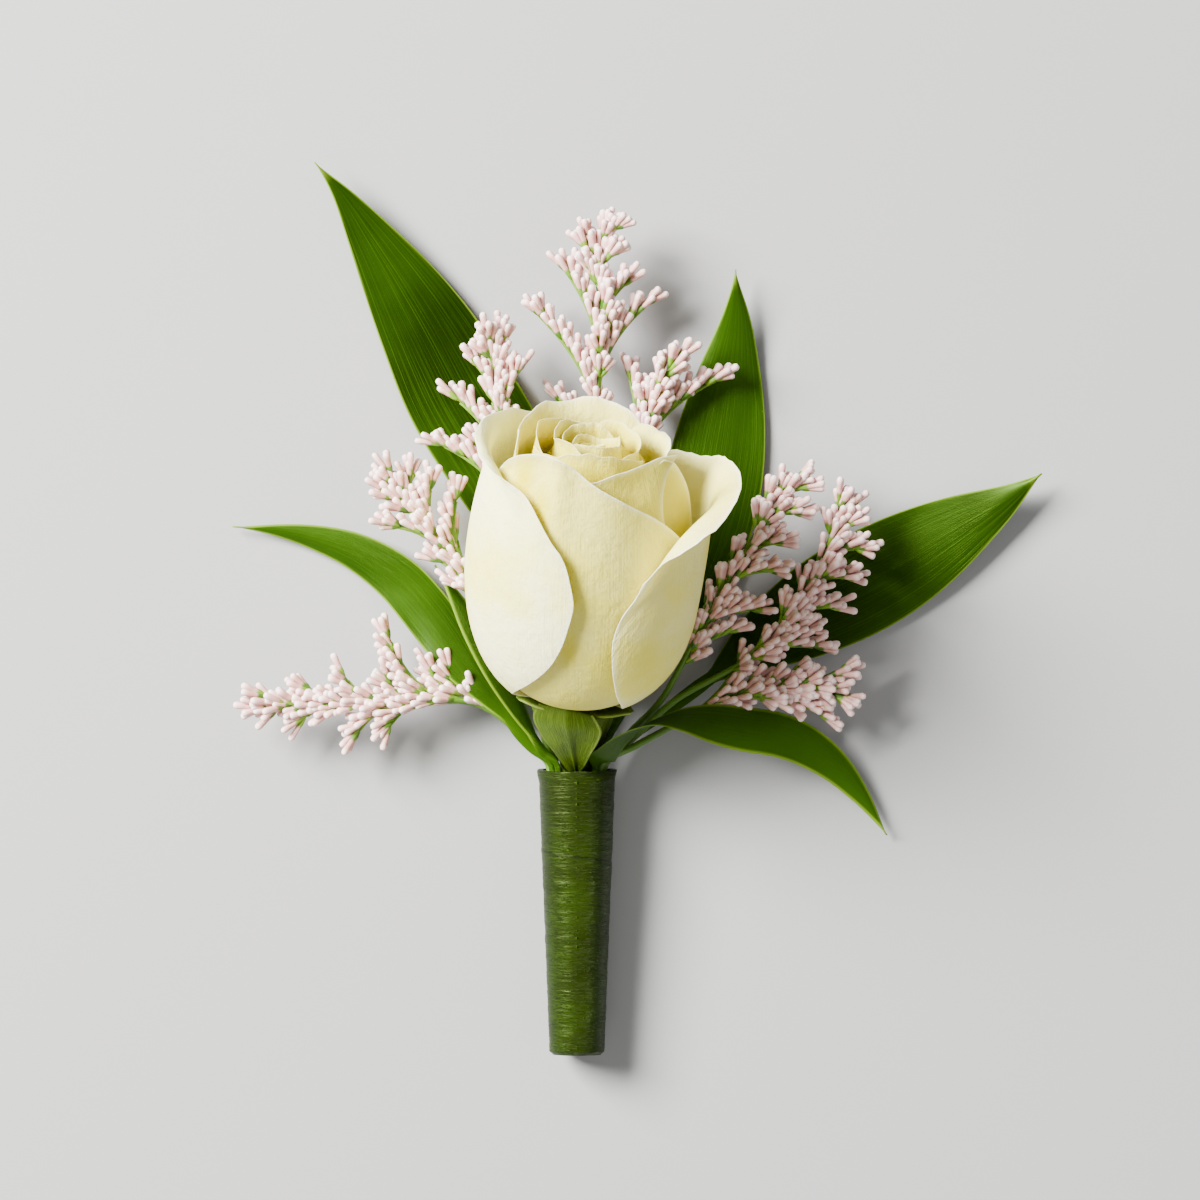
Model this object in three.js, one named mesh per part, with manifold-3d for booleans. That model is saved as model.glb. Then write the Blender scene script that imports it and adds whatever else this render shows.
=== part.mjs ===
// A boutonniere: a cream rose, six broad green leaves and eight sprays of small pink buds, their
// stems bound side by side with green stem tape into a tapered handle. It lies on its back.
//
// Millimetres. +Z is up off the table, +Y runs from the handle to the leaf tips, +X is to the right.
// Every place below is measured from the neck: the middle of the handle's mouth, at table height.
import * as THREE from "three";
import { mergeVertices } from "three/addons/utils/BufferGeometryUtils.js";
import Module from "manifold-3d";

const wasm = await Module();
wasm.setup();

const HANDLE_LENGTH = 42.7;
const HANDLE_MOUTH_RADIUS = 5.85;
const HANDLE_END_RADIUS = 4.2;
const TAPE_MOUTH = 0.75;
const TAPE_END = 0.6;
const REST_FLAT = 0.15; // how much of the tape's underside is pressed flat by the table
const STEM_GAP = 0.3;

const RING_STEM_MOUTH_RADIUS = 0.62;
const RING_STEM_END_RADIUS = 0.45;
const ROSE_STEM_MOUTH_RADIUS = 2.3;
const ROSE_STEM_END_RADIUS = 1.75;
const CUT_END_RECESS = 0.6; // the cut stems stop this far inside the tape
const STEM_EXIT = 0.8; // and turn away this far past its mouth
const STEM_GUIDES = [-20, -4]; // where a stem is also held to its slot inside the handle

const ROSE_TILT = 30; // degrees that the rose's axis rises off the table
const ROSE_LEAN = 2; // degrees that it leans to the right
const HIP_LENGTH = 12.6; // from the neck to the foot of the petals, along the axis
const BELLY_RADIUS = 17.6;
const PETAL_THICKNESS = 0.7;
const SEPAL_GAP = 0.9; // between a sepal and the petals above it
const PETAL_FOOT_RADIUS = 3;
const PETAL_FOOT_RISE = 0.5; // how much higher a petal is rooted for each mm that it lies further in

const BLADE_THICKNESS = 0.9;
const BUD_LENGTH = 4;
const BUD_RADIUS = 0.8;
const BUD_SINK = 0.4; // how far a bud's root lies behind the middle of its sprig
const BUD_STEP = 2.9; // along a sprig
const SPRAY_TIP_RADIUS = 0.42;
const SPRIG_ROOT_RADIUS = 0.36;
const SPRIG_TIP_RADIUS = 0.3;
const GOLDEN_ANGLE = 137.5;

const CREAM = { color: 0xeeeac6, roughness: 0.55 };
const LEAF_GREEN = { color: 0x2c5a12, roughness: 0.4 };
const HIP_GREEN = { color: 0x6d8230, roughness: 0.5 };
const TAPE_GREEN = { color: 0x46761f, roughness: 0.5 };
const BUD_PINK = { color: 0xe6c9bf, roughness: 0.55 };

const { clamp, lerp, degToRad, smoothstep } = THREE.MathUtils;
const point = (x, y, z) => new THREE.Vector3(x, y, z);

// A repeatable row of draws between 0 and 1.
function draws(seed) {
  let state = seed;
  return () => {
    state = (state * 16807) % 2147483647;
    return state / 2147483647;
  };
}

// Six times the volume that a closed surface holds: negative when its faces point inwards.
function signedVolume(places, faces) {
  let sum = 0;
  for (let i = 0; i < faces.length; i += 3) {
    const [a, b, c] = [places[faces[i]], places[faces[i + 1]], places[faces[i + 2]]];
    sum += a.dot(b.clone().cross(c));
  }
  return sum;
}

// A closed surface from its points and triangles, with its faces turned outwards.
function closedSurface(places, faces) {
  const ordered = signedVolume(places, faces) < 0 ? faces.toReversed() : faces;
  return new THREE.BufferGeometry().setFromPoints(places).setIndex(ordered);
}

// A solid turned about +Z from pairs of radius and height.
function turned(profile, sides) {
  const lathe = new THREE.LatheGeometry(profile.map(([r, h]) => new THREE.Vector2(r, h)), sides);
  lathe.rotateX(Math.PI / 2);
  const { position } = lathe.attributes;
  const places = [];
  for (let i = 0; i < position.count; i++) places.push(point(0, 0, 0).fromBufferAttribute(position, i));
  return closedSurface(places, [...lathe.index.array]);
}

// A solid skin over rings of points, closed flat at both ends. The rings are convex.
function skin(rings) {
  const count = rings[0].length;
  const last = (rings.length - 1) * count;
  const faces = [];
  for (let first = 0; first < last; first += count) {
    for (let k = 0; k < count; k++) {
      const [a, b] = [first + k, first + ((k + 1) % count)];
      faces.push(a, b, b + count, a, b + count, a + count);
    }
  }
  for (let k = 1; k < count - 1; k++) faces.push(0, k + 1, k, last, last + k, last + k + 1);
  return closedSurface(rings.flat(), faces);
}

// A sheet of even thickness laid inwards from surface(u, v), where u is -1 to 1 and v is 0 to 1.
// Both faces are split into the same triangles.
function sheet(surface, acrossSteps, alongSteps, thickness) {
  const nudge = 1e-3;
  const outer = [];
  const inner = [];
  for (let j = 0; j <= alongSteps; j++) {
    for (let i = 0; i <= acrossSteps; i++) {
      const [u, v] = [(2 * i) / acrossSteps - 1, j / alongSteps];
      const place = surface(u, v);
      const across = surface(u + nudge, v).sub(surface(u - nudge, v));
      const along = surface(u, v + nudge).sub(surface(u, v - nudge));
      outer.push(place);
      inner.push(place.clone().addScaledVector(along.cross(across).normalize(), thickness));
    }
  }
  const width = acrossSteps + 1;
  const below = outer.length;
  const faces = [];
  for (let j = 0; j < alongSteps; j++) {
    for (let i = 0; i < acrossSteps; i++) {
      const [a, b] = [j * width + i, j * width + i + 1];
      const [c, d] = [b + width, a + width];
      faces.push(a, b, c, a, c, d, below + a, below + c, below + b, below + a, below + d, below + c);
    }
  }
  const rim = [];
  for (let i = 0; i < acrossSteps; i++) rim.push(i);
  for (let j = 0; j < alongSteps; j++) rim.push(j * width + acrossSteps);
  for (let i = acrossSteps; i > 0; i--) rim.push(alongSteps * width + i);
  for (let j = alongSteps; j > 0; j--) rim.push(j * width);
  rim.forEach((a, k) => {
    const b = rim[(k + 1) % rim.length];
    faces.push(a, below + b, b, a, below + a, below + b);
  });
  return closedSurface([...outer, ...inner], faces);
}

// A round tube along a curve, with the radius at the share t of the way given by radiusAt(t).
function tube(curve, stations, sides, radiusAt) {
  const rings = stations.map((t) => {
    const centre = curve.getPointAt(t);
    const ahead = curve.getTangentAt(t);
    const side = Math.abs(ahead.z) > 0.95 ? point(1, 0, 0) : point(0, 0, 1);
    const east = ahead.clone().cross(side).normalize();
    const north = east.clone().cross(ahead);
    return Array.from({ length: sides }, (_, k) => {
      const angle = (2 * Math.PI * k) / sides;
      return centre
        .clone()
        .addScaledVector(east, radiusAt(t) * Math.cos(angle))
        .addScaledVector(north, radiusAt(t) * Math.sin(angle));
    });
  });
  return skin(rings);
}

function toSolid(geometry) {
  const bare = geometry.clone();
  bare.deleteAttribute("normal");
  bare.deleteAttribute("uv");
  const merged = mergeVertices(bare);
  return new wasm.Manifold(
    new wasm.Mesh({
      numProp: 3,
      vertProperties: new Float32Array(merged.attributes.position.array),
      triVerts: new Uint32Array(merged.index.array),
    }),
  );
}

function toMesh(name, solid, finish) {
  const { vertProperties, triVerts } = solid.getMesh();
  const geometry = new THREE.BufferGeometry();
  geometry.setAttribute("position", new THREE.BufferAttribute(vertProperties, 3));
  geometry.setIndex(new THREE.BufferAttribute(triVerts, 1));
  const mesh = new THREE.Mesh(geometry, new THREE.MeshStandardMaterial(finish));
  mesh.name = name;
  return mesh;
}

// Shapes fused into one body, with any hollow that this seals filled and any loose scrap dropped.
function fuse(geometries) {
  const bodies = wasm.Manifold.union(geometries.map(toSolid)).decompose();
  return bodies.reduce((best, body) => (body.volume() > best.volume() ? body : best));
}

// Everything below the table, for cutting small rest flats.
function belowTable() {
  const size = 400;
  return toSolid(new THREE.BoxGeometry(size, size, size).translate(0, 0, -size / 2));
}

// The handle: the tape's radius at y, and the height of its middle, so that its underside lies level.
const handleShare = (y) => -y / HANDLE_LENGTH;
const handleRadius = (y) => lerp(HANDLE_MOUTH_RADIUS, HANDLE_END_RADIUS, handleShare(y));
const handleHeight = (y) => handleRadius(y) - REST_FLAT;
const ringStemRadius = (y) => lerp(RING_STEM_MOUTH_RADIUS, RING_STEM_END_RADIUS, handleShare(y));

// Where a stem of the outer ring runs inside the tape. The slot is an angle in degrees round the
// handle, from the right-hand side over the top.
function slotPoint(slot, y) {
  const tape = lerp(TAPE_MOUTH, TAPE_END, handleShare(y));
  const reach = handleRadius(y) - tape - STEM_GAP - ringStemRadius(y);
  const angle = degToRad(slot);
  return point(reach * Math.cos(angle), y, handleHeight(y) + reach * Math.sin(angle));
}

// A curve that starts at the cut end of a slot, runs straight out of the handle and on through places.
function stemCurve(slot, places) {
  const held = [CUT_END_RECESS - HANDLE_LENGTH, ...STEM_GUIDES, STEM_EXIT];
  const inside = held.map((y) => slotPoint(slot, y));
  return new THREE.CatmullRomCurve3([...inside, ...places.map((p) => point(...p))]);
}

// The share of a stem curve that lies inside the handle.
const insideShare = (curve) => (HANDLE_LENGTH - CUT_END_RECESS) / curve.getLength();

function stemWrap() {
  const end = HANDLE_LENGTH;
  const lip = 0.35;
  const profile = [
    [HANDLE_MOUTH_RADIUS - TAPE_MOUTH, 0],
    [HANDLE_MOUTH_RADIUS - lip, 0],
    [HANDLE_MOUTH_RADIUS, lip],
    [lerp(HANDLE_MOUTH_RADIUS, HANDLE_END_RADIUS, 0.3), end * 0.3],
    [lerp(HANDLE_MOUTH_RADIUS, HANDLE_END_RADIUS, 0.65), end * 0.65],
    [HANDLE_END_RADIUS, end - lip],
    [HANDLE_END_RADIUS - lip, end],
    [HANDLE_END_RADIUS - TAPE_END, end],
    [HANDLE_MOUTH_RADIUS - TAPE_MOUTH, 0],
  ];
  const slope = Math.atan((HANDLE_MOUTH_RADIUS - HANDLE_END_RADIUS) / HANDLE_LENGTH);
  const tape = turned(profile, 24)
    .rotateX(Math.PI / 2 + slope)
    .translate(0, 0, handleHeight(0));
  return toMesh("stem_wrap", toSolid(tape).subtract(belowTable()), TAPE_GREEN);
}

// The rose's own frame: its foot at the origin, +Z along its axis and -Y facing up off the table.
function roseFrame() {
  const group = new THREE.Group();
  group.rotation.set(degToRad(ROSE_TILT - 90), 0, degToRad(-ROSE_LEAN), "ZXY");
  const foot = point(0, 0, HIP_LENGTH).applyEuler(group.rotation);
  group.position.copy(foot).add(point(0, 0, handleHeight(0)));
  return group;
}

// The side of a petal: its distance from the axis and its height, as a curve bulging to the belly.
function petalProfile(s, { belly, rim, height }) {
  const foot = PETAL_FOOT_RISE * (BELLY_RADIUS - belly);
  const rise = height - foot;
  const [a, b, c, d] = [(1 - s) ** 3, 3 * (1 - s) ** 2 * s, 3 * (1 - s) * s * s, s ** 3];
  return {
    radius: a * PETAL_FOOT_RADIUS + b * 1.27 * belly + c * 1.06 * belly + d * rim,
    height: foot + (b * 0.05 + c * 0.65 + d) * rise,
  };
}

// A petal: beta is the way it faces, in degrees from the front towards the right, and half its
// half-width. The rim is rounded off by drop, curls out by curl, and one side stands out by tuck.
const PETALS = [
  { beta: -77, half: 73, belly: 17.6, rim: 15, height: 48.5, drop: 0.15, curl: 3, tuck: 0 },
  { beta: 84, half: 70, belly: 17.1, rim: 17, height: 39.5, drop: 0.22, curl: 5.5, tuck: 0 },
  { beta: 180, half: 70, belly: 16, rim: 14, height: 42, drop: 0.1, curl: 2, tuck: 0 },
  { beta: -14, half: 78, belly: 16, rim: 12.3, height: 47.5, drop: 0.16, curl: 0.8, tuck: 0 },
  { beta: 28, half: 66, belly: 14.4, rim: 11, height: 44.5, drop: 0.05, curl: 0.5, tuck: 0.5 },
  { beta: 122, half: 64, belly: 14.4, rim: 13.2, height: 42.5, drop: 0.06, curl: 1.2, tuck: 0.5 },
  { beta: -124, half: 66, belly: 14.4, rim: 12.2, height: 44.5, drop: 0.08, curl: 1, tuck: 0.5 },
  { beta: 178, half: 96, belly: 12.8, rim: 9.8, height: 45.2, drop: 0.08, curl: 0.4, tuck: 0 },
  { beta: -58, half: 82, belly: 11.4, rim: 8.4, height: 45.4, drop: 0.1, curl: 0, tuck: 0.4 },
  { beta: 66, half: 78, belly: 10.1, rim: 7.2, height: 45, drop: 0.1, curl: 0, tuck: 0.4 },
];
const INNER_PETALS = 5;

// The heart of the bud: petals turning by the golden angle, each closer in than the last.
function innerPetal(k) {
  const share = k / (INNER_PETALS - 1);
  return {
    beta: 190 + GOLDEN_ANGLE * k,
    half: lerp(88, 112, share),
    belly: lerp(8.6, 2.4, share),
    rim: lerp(6.1, 1.4, share),
    height: lerp(45, 43, share),
    drop: 0.06,
    curl: 0,
    tuck: 0.2,
  };
}

// How much of its half-width a petal spans at v: narrow at the foot, full at two thirds, and drawn in
// again towards the rim.
function petalSpread(v) {
  const widest = 0.67;
  const foot = 0.22;
  const quarterTurn = (Math.PI / 2) * clamp(v / widest, 0, 1);
  const opened = foot + (1 - foot) * Math.sin(quarterTurn) ** 1.5;
  return opened * (1 - 0.35 * Math.max(0, (v - widest) / (1 - widest)) ** 2);
}

function petalSurface(petal) {
  return (u, v) => {
    const side = petalProfile(v * (1 - petal.drop * Math.abs(u) ** 1.8), petal);
    const roll = petal.curl * smoothstep(v, 0.66, 1.08) ** 2 * (1 - 0.5 * u * u);
    const angle = degToRad(petal.beta + u * petal.half * petalSpread(v));
    const radius = side.radius + roll + petal.tuck * u;
    return point(radius * Math.sin(angle), -radius * Math.cos(angle), side.height - 0.25 * roll);
  };
}

function roseBloom() {
  const outer = PETALS.map((petal) => sheet(petalSurface(petal), 7, 6, PETAL_THICKNESS));
  const inner = Array.from({ length: INNER_PETALS }, (_, k) =>
    sheet(petalSurface(innerPetal(k)), 5, 4, PETAL_THICKNESS),
  );
  const heart = [[0, 0.2], [4, 0.2], [4.4, 2], [3.8, 9], [1.6, 16], [0, 17]];
  return toMesh("rose_bloom", fuse([turned(heart, 9), ...outer, ...inner]), CREAM);
}

// The sepals round the back, each with the way it faces and its reach along the petals.
const SEPALS = [
  { beta: 78, reach: 0.26 },
  { beta: 144, reach: 0.14 },
  { beta: 216, reach: 0.14 },
  { beta: 278, reach: 0.24 },
];

// A sepal that hugs the underside of the belly, clear of the petals.
function huggingSepal({ beta, reach }) {
  const clear = SEPAL_GAP + PETAL_THICKNESS;
  const surface = (u, v) => {
    const s = lerp(0.015, reach, v);
    const side = petalProfile(s, PETALS[1]);
    const step = petalProfile(s + 0.01, PETALS[1]);
    const ahead = new THREE.Vector2(step.radius - side.radius, step.height - side.height).normalize();
    const radius = side.radius + clear * ahead.y;
    const halfWidth = 2.6 * Math.max(0, 1 - v) ** 0.7 + 0.25;
    const angle = degToRad(beta) + (u * halfWidth) / Math.max(radius, 4);
    return point(radius * Math.sin(angle), -radius * Math.cos(angle), side.height - clear * ahead.x);
  };
  return sheet(surface, 2, 4, PETAL_THICKNESS);
}

// The sepal that is folded back down over the hip.
function foldedSepal(beta) {
  const surface = (u, v) => {
    const radius = lerp(6, 3.7, v);
    const angle = degToRad(beta) + u * lerp(1, 0.3, v);
    return point(radius * Math.sin(angle), -radius * Math.cos(angle), lerp(-0.8, -10.9, v));
  };
  return sheet(surface, 2, 4, -1.6);
}

function roseStem(frame) {
  const hip = [
    [0, -0.3], [4.8, -0.3], [5.4, -1.1], [5.1, -3],
    [4.3, -6], [3.2, -9.2], [2.4, -12], [0, -12],
  ];
  const green = [turned(hip, 14), ...SEPALS.map(huggingSepal), foldedSepal(-6)];
  green.forEach((geometry) => geometry.applyMatrix4(frame.matrix));
  const axis = point(0, 0, 1).applyEuler(frame.rotation);
  const mouth = point(0, 0, handleHeight(0));
  const end = CUT_END_RECESS - HANDLE_LENGTH;
  const stem = new THREE.CatmullRomCurve3([
    point(0, end, handleHeight(end)),
    point(0, end / 2, handleHeight(end / 2)),
    point(0, -3, handleHeight(-3)),
    mouth.clone().addScaledVector(axis, 1),
    mouth.clone().addScaledVector(axis, 4),
  ]);
  const stations = [0, 0.5, 0.86, 0.91, 0.95, 1];
  green.push(tube(stem, stations, 10, (t) => lerp(ROSE_STEM_END_RADIUS, ROSE_STEM_MOUTH_RADIUS, t)));
  return toMesh("rose_stem", fuse(green), HIP_GREEN);
}

// A leaf and its stalk in one skin. Its places run from the neck to the tip; turn is the roll of the
// blade about its length, in degrees, at its foot and at its tip.
const LEAVES = [
  {
    name: "leaf_upper_left", slot: 241, stalk: 20, half: 8.4, peak: 0.44,
    turn: [0, 6], turning: [0, 0.8],
    places: [
      [-2.6, 9, 2.0], [-4, 22, 1.5], [-7, 35.7, 1.4], [-12.3, 47, 1.4], [-17.6, 56, 1.5],
      [-22.2, 64.8, 1.8], [-26.7, 72.6, 2.4], [-31.3, 80, 3.2], [-35.3, 86, 4], [-39.2, 90.6, 4.6],
    ],
  },
  {
    name: "leaf_upper_right", slot: 309, stalk: 17, half: 7.4, peak: 0.46,
    turn: [0, -8], turning: [0, 0.8],
    places: [
      [5.4, 6.2, 2.4], [10.8, 16.4, 1.7], [15.5, 25.2, 1.3], [18.5, 33.5, 1.3], [20.3, 41.7, 1.3],
      [21.8, 50.7, 1.4], [23, 59.7, 1.8], [23.8, 67.2, 2.6], [23.7, 74.6, 3.8],
    ],
  },
  {
    name: "leaf_right", slot: 328, stalk: 20, half: 7.6, peak: 0.48,
    turn: [0, 8], turning: [0, 0.8],
    places: [
      [7.6, 4.4, 3.2], [12.6, 8, 2.4], [20, 13.5, 1.6], [27.5, 18.9, 1.3], [35, 23.4, 1.3],
      [42.5, 27.6, 1.3], [50, 31.8, 1.5], [57.5, 36.2, 2], [64.2, 40.2, 2.8], [69.5, 44.1, 3.8],
    ],
  },
  {
    name: "leaf_left", slot: 157, stalk: 8, half: 3.8, peak: 0.42,
    turn: [-16, 12], turning: [0, 0.8],
    places: [
      [-6.4, 3, 7.4], [-9.7, 7, 7.2], [-13.2, 11.3, 6.8], [-16.8, 15.6, 5.8], [-19.9, 20, 4.8],
      [-23, 24.1, 3.8], [-27, 28.4, 2.8], [-33.2, 32.4, 1.7], [-39.3, 34.5, 1.3], [-44.8, 35.6, 1.3],
      [-51.6, 36.2, 1.4],
    ],
  },
  {
    name: "leaf_inner_left", slot: 136, stalk: 4, half: 2.5, peak: 0.45,
    turn: [-50, -30], turning: [0, 0.8],
    places: [
      [-5, 2.6, 8.8], [-7.8, 7.2, 8.8], [-10.4, 12, 8.2], [-13.2, 17.2, 7.4], [-16, 22, 6.6],
      [-18.6, 26.4, 5.8], [-21.2, 30.4, 5.2],
    ],
  },
  {
    name: "leaf_lower_right", slot: 48, stalk: 3, half: 3.5, peak: 0.5,
    turn: [126, 22], turning: [0.25, 0.65],
    places: [
      [4.9, 1.8, 9.7], [7.6, 4.4, 11.1], [11.2, 6.7, 12.2], [15.4, 7.3, 12], [20, 6.9, 10.8],
      [25, 6, 9], [30, 5.1, 7], [34.2, 3.4, 5.2], [38.6, 0.3, 3.6], [42.6, -4.2, 2.2],
      [46.4, -10, 1.2],
    ],
  },
];
const BLADE_STATIONS = 14;
const BLADE_POINT = 2.3; // higher draws both ends of a blade out to a longer point
const BLADE_ARCH = 0.13; // how far a blade's edges hang below its middle, as a share of the half-width
const STALK_HALF_WIDTH = 1.1;
const TIP_HALF_WIDTH = 0.25;
// Across a blade, from one edge to the other and back below: the share of the half-width, and the rise
// or fall as a share of half the thickness.
const BLADE_RING = [
  [1, 0.7], [0.45, 1], [-0.45, 1], [-1, 0.7],
  [-1, -0.7], [-0.45, -1], [0.45, -1], [1, -0.7],
];

function bladeShape(t, peak) {
  const [a, b] = [BLADE_POINT * peak, BLADE_POINT * (1 - peak)];
  return (t ** a * (1 - t) ** b) / (peak ** a * (1 - peak) ** b);
}

function leafMesh(leaf) {
  const curve = stemCurve(leaf.slot, leaf.places);
  const neck = insideShare(curve);
  const bladeFrom = neck + leaf.stalk / curve.getLength();
  const stations = [0, neck * 0.5, neck * 0.9, neck, lerp(neck, bladeFrom, 0.5)];
  for (let i = 0; i <= BLADE_STATIONS; i++) stations.push(lerp(bladeFrom, 1, i / BLADE_STATIONS));
  const rings = stations.map((t) => {
    const centre = curve.getPointAt(t);
    const ahead = curve.getTangentAt(t);
    const side = ahead.clone().cross(point(0, 0, 1)).normalize();
    const face = side.clone().cross(ahead);
    const along = clamp((t - bladeFrom) / (1 - bladeFrom), 0, 1);
    const free = (t - neck) / (1 - neck);
    const turn = degToRad(lerp(...leaf.turn, smoothstep(free, ...leaf.turning)));
    const across = side.clone().multiplyScalar(Math.cos(turn)).addScaledVector(face, Math.sin(turn));
    const up = face.clone().multiplyScalar(Math.cos(turn)).addScaledVector(side, -Math.sin(turn));
    const inTape = ringStemRadius(Math.min(0, centre.y));
    const opening = smoothstep(t, neck, bladeFrom);
    const stalkWidth = t > neck ? lerp(inTape, STALK_HALF_WIDTH, opening) : inTape * 0.8;
    const leastWidth = lerp(stalkWidth, TIP_HALF_WIDTH, along);
    const half = Math.max(leaf.half * bladeShape(along, leaf.peak), leastWidth);
    const thick = lerp(inTape * 0.9, BLADE_THICKNESS / 2, smoothstep(along, 0, 0.1));
    const arch = BLADE_ARCH * Math.max(0, half - stalkWidth);
    return BLADE_RING.map(([share, rise]) =>
      centre
        .clone()
        .addScaledVector(across, half * share)
        .addScaledVector(up, thick * rise - arch * share * share),
    );
  });
  return toMesh(leaf.name, toSolid(skin(rings)).subtract(belowTable()), LEAF_GREEN);
}

// The sprays. Each has its slot, the share of its main stem beyond the neck that is bare of buds, the
// places of its main stem from the neck on, and its sprigs as [share of the main stem, tip x, y, z].
const SPRAYS = [
  {
    name: "spray_top", slot: 271, bare: 0.86,
    places: [
      [0.8, 12, 1.6], [2, 28, 1.6], [2.8, 42, 3.2], [3.2, 52, 5.4], [3.3, 61.8, 7], [3.8, 67.5, 7.6],
      [2.9, 73, 8], [2.7, 78, 8.2], [4.5, 83.6, 8.4],
    ],
    sprigs: [
      [0.62, -7.2, 68, 8.4], [0.72, -2, 74, 8.8], [0.7, 10.8, 69.2, 8.4], [0.64, 3.4, 63.6, 10.4],
      [0.8, 8, 72.6, 8.8], [0.87, 6.6, 77.6, 9], [0.88, 1, 78, 8.6],
    ],
  },
  {
    name: "spray_top_right", slot: 290, bare: 0.84,
    places: [
      [3.6, 12, 2.0], [7, 28, 2.6], [9, 42, 4], [10.4, 52, 6], [12.8, 58, 7.4], [16.8, 64, 8],
    ],
    sprigs: [
      [0.7, 21.6, 57.4, 8.4], [0.74, 17.2, 56.4, 9.8], [0.76, 7.9, 59.4, 7.2], [0.84, 12, 62.4, 7.4],
    ],
  },
  {
    name: "spray_upper_left", slot: 218, bare: 0.86,
    places: [
      [-4.6, 11, 3.6], [-7.2, 22, 3.8], [-9, 33, 4.8], [-10.4, 42, 6.2], [-11.2, 50, 7.4],
      [-12, 57, 8.2], [-12.4, 63, 8.4], [-11.6, 67.8, 8.6],
    ],
    sprigs: [
      [0.56, -21.4, 48.4, 8], [0.66, -18.4, 55.4, 8.4], [0.72, -8.2, 59.4, 8],
      [0.78, -15.8, 61.6, 8.8], [0.82, -9.8, 63, 8.4], [0.66, -13.4, 56, 10.6],
      [0.54, -15.6, 46.6, 9.6],
    ],
  },
  {
    name: "spray_left", slot: 197, bare: 0.8,
    places: [
      [-5.2, 6, 4.2], [-7.6, 13, 4.4], [-10.6, 20, 5.6], [-14.2, 26, 8], [-18, 31, 9],
      [-21.8, 35.2, 9.2], [-24.6, 38.6, 9.2], [-27.2, 42.6, 9.2], [-28.8, 46.4, 9.2],
    ],
    sprigs: [
      [0.72, -28.4, 39.8, 9.2], [0.82, -24, 45, 9.6], [0.68, -21, 42.4, 9.6],
      [0.58, -17.2, 40.4, 9.4], [0.6, -27.6, 34.6, 8.8], [0.52, -18, 33.6, 11.2],
      [0.46, -20.2, 27.6, 9.6],
    ],
  },
  {
    name: "spray_lower_left", slot: 177, bare: 0.76,
    places: [
      [-6.6, 3, 5.1], [-10, 6.6, 4.8], [-13.8, 9.2, 4.9], [-17.6, 10.2, 5.9], [-21.4, 10, 6.8],
      [-25.4, 9.8, 7], [-31.6, 9.4, 7], [-38.8, 9.4, 6.8], [-44.9, 9.2, 6.6], [-50, 8.2, 6.4],
    ],
    sprigs: [
      [0.36, -27.2, 19.6, 7.6], [0.32, -21.4, 15.8, 9], [0.3, -18.8, 13.4, 10.4],
      [0.42, -25.4, 14, 9.4], [0.5, -31, 15.4, 7.8], [0.58, -36.4, 14, 7.6], [0.68, -42.8, 12.8, 7],
      [0.54, -32.6, 4.6, 6.8], [0.46, -28.8, 5.2, 7.2], [0.68, -40, 6.8, 7],
    ],
  },
  {
    name: "spray_right_inner", slot: 348, bare: 0.84,
    places: [
      [7.8, 5.2, 4.9], [12.4, 10, 5.2], [15, 14.4, 5.8], [18.5, 21, 7], [21.7, 26.7, 7.8],
      [24.9, 32, 8.2], [27.8, 37.2, 8.4], [30.5, 41.2, 8.6], [34, 45, 8.8],
    ],
    sprigs: [
      [0.82, 34.8, 41, 9], [0.74, 33.6, 37.6, 9], [0.66, 31, 33.6, 9.6], [0.56, 30, 29, 9.6],
      [0.48, 27.6, 24.8, 9.8], [0.6, 22.4, 32.4, 9.2], [0.42, 19.4, 26, 8.2],
    ],
  },
  {
    name: "spray_right_outer", slot: 8, bare: 0.82,
    places: [
      [8.6, 4.8, 6.2], [14.6, 10.2, 6.4], [24.5, 15.8, 7.2], [29.7, 20, 7.6], [33.3, 24.8, 8],
      [35.2, 28.8, 8.2], [37.4, 33.6, 8.4], [38.8, 37, 8.6], [42, 41, 8.8],
    ],
    sprigs: [
      [0.84, 42.2, 36.6, 9], [0.76, 43.2, 32.2, 9], [0.66, 41.8, 27.8, 9], [0.56, 39, 23.8, 8.8],
      [0.48, 36.6, 19.6, 8.6],
    ],
  },
  {
    name: "spray_right_lower", slot: 28, bare: 0.8,
    places: [
      [8.6, 3.4, 7.2], [13.8, 6.2, 6.8], [18.8, 9, 7], [24.5, 11, 7.4], [34, 12.2, 7.8],
      [42.6, 10.4, 7.8],
    ],
    sprigs: [
      [0.62, 39.4, 15, 8], [0.5, 31.6, 14.8, 8.6], [0.42, 26.4, 13.6, 9.8], [0.44, 37, 7, 8],
      [0.52, 34.4, 10.2, 9.6],
    ],
  },
];

// One club-shaped bud, three-sided and widest near its tip, from a point on a sprig along a direction.
function bud(root, direction, length) {
  const club = turned([[0, -BUD_SINK], [BUD_RADIUS, 0.72 * length], [0, length]], 3);
  const turn = new THREE.Quaternion().setFromUnitVectors(point(0, 0, 1), direction);
  return club.applyQuaternion(turn).translate(...root);
}

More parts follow.
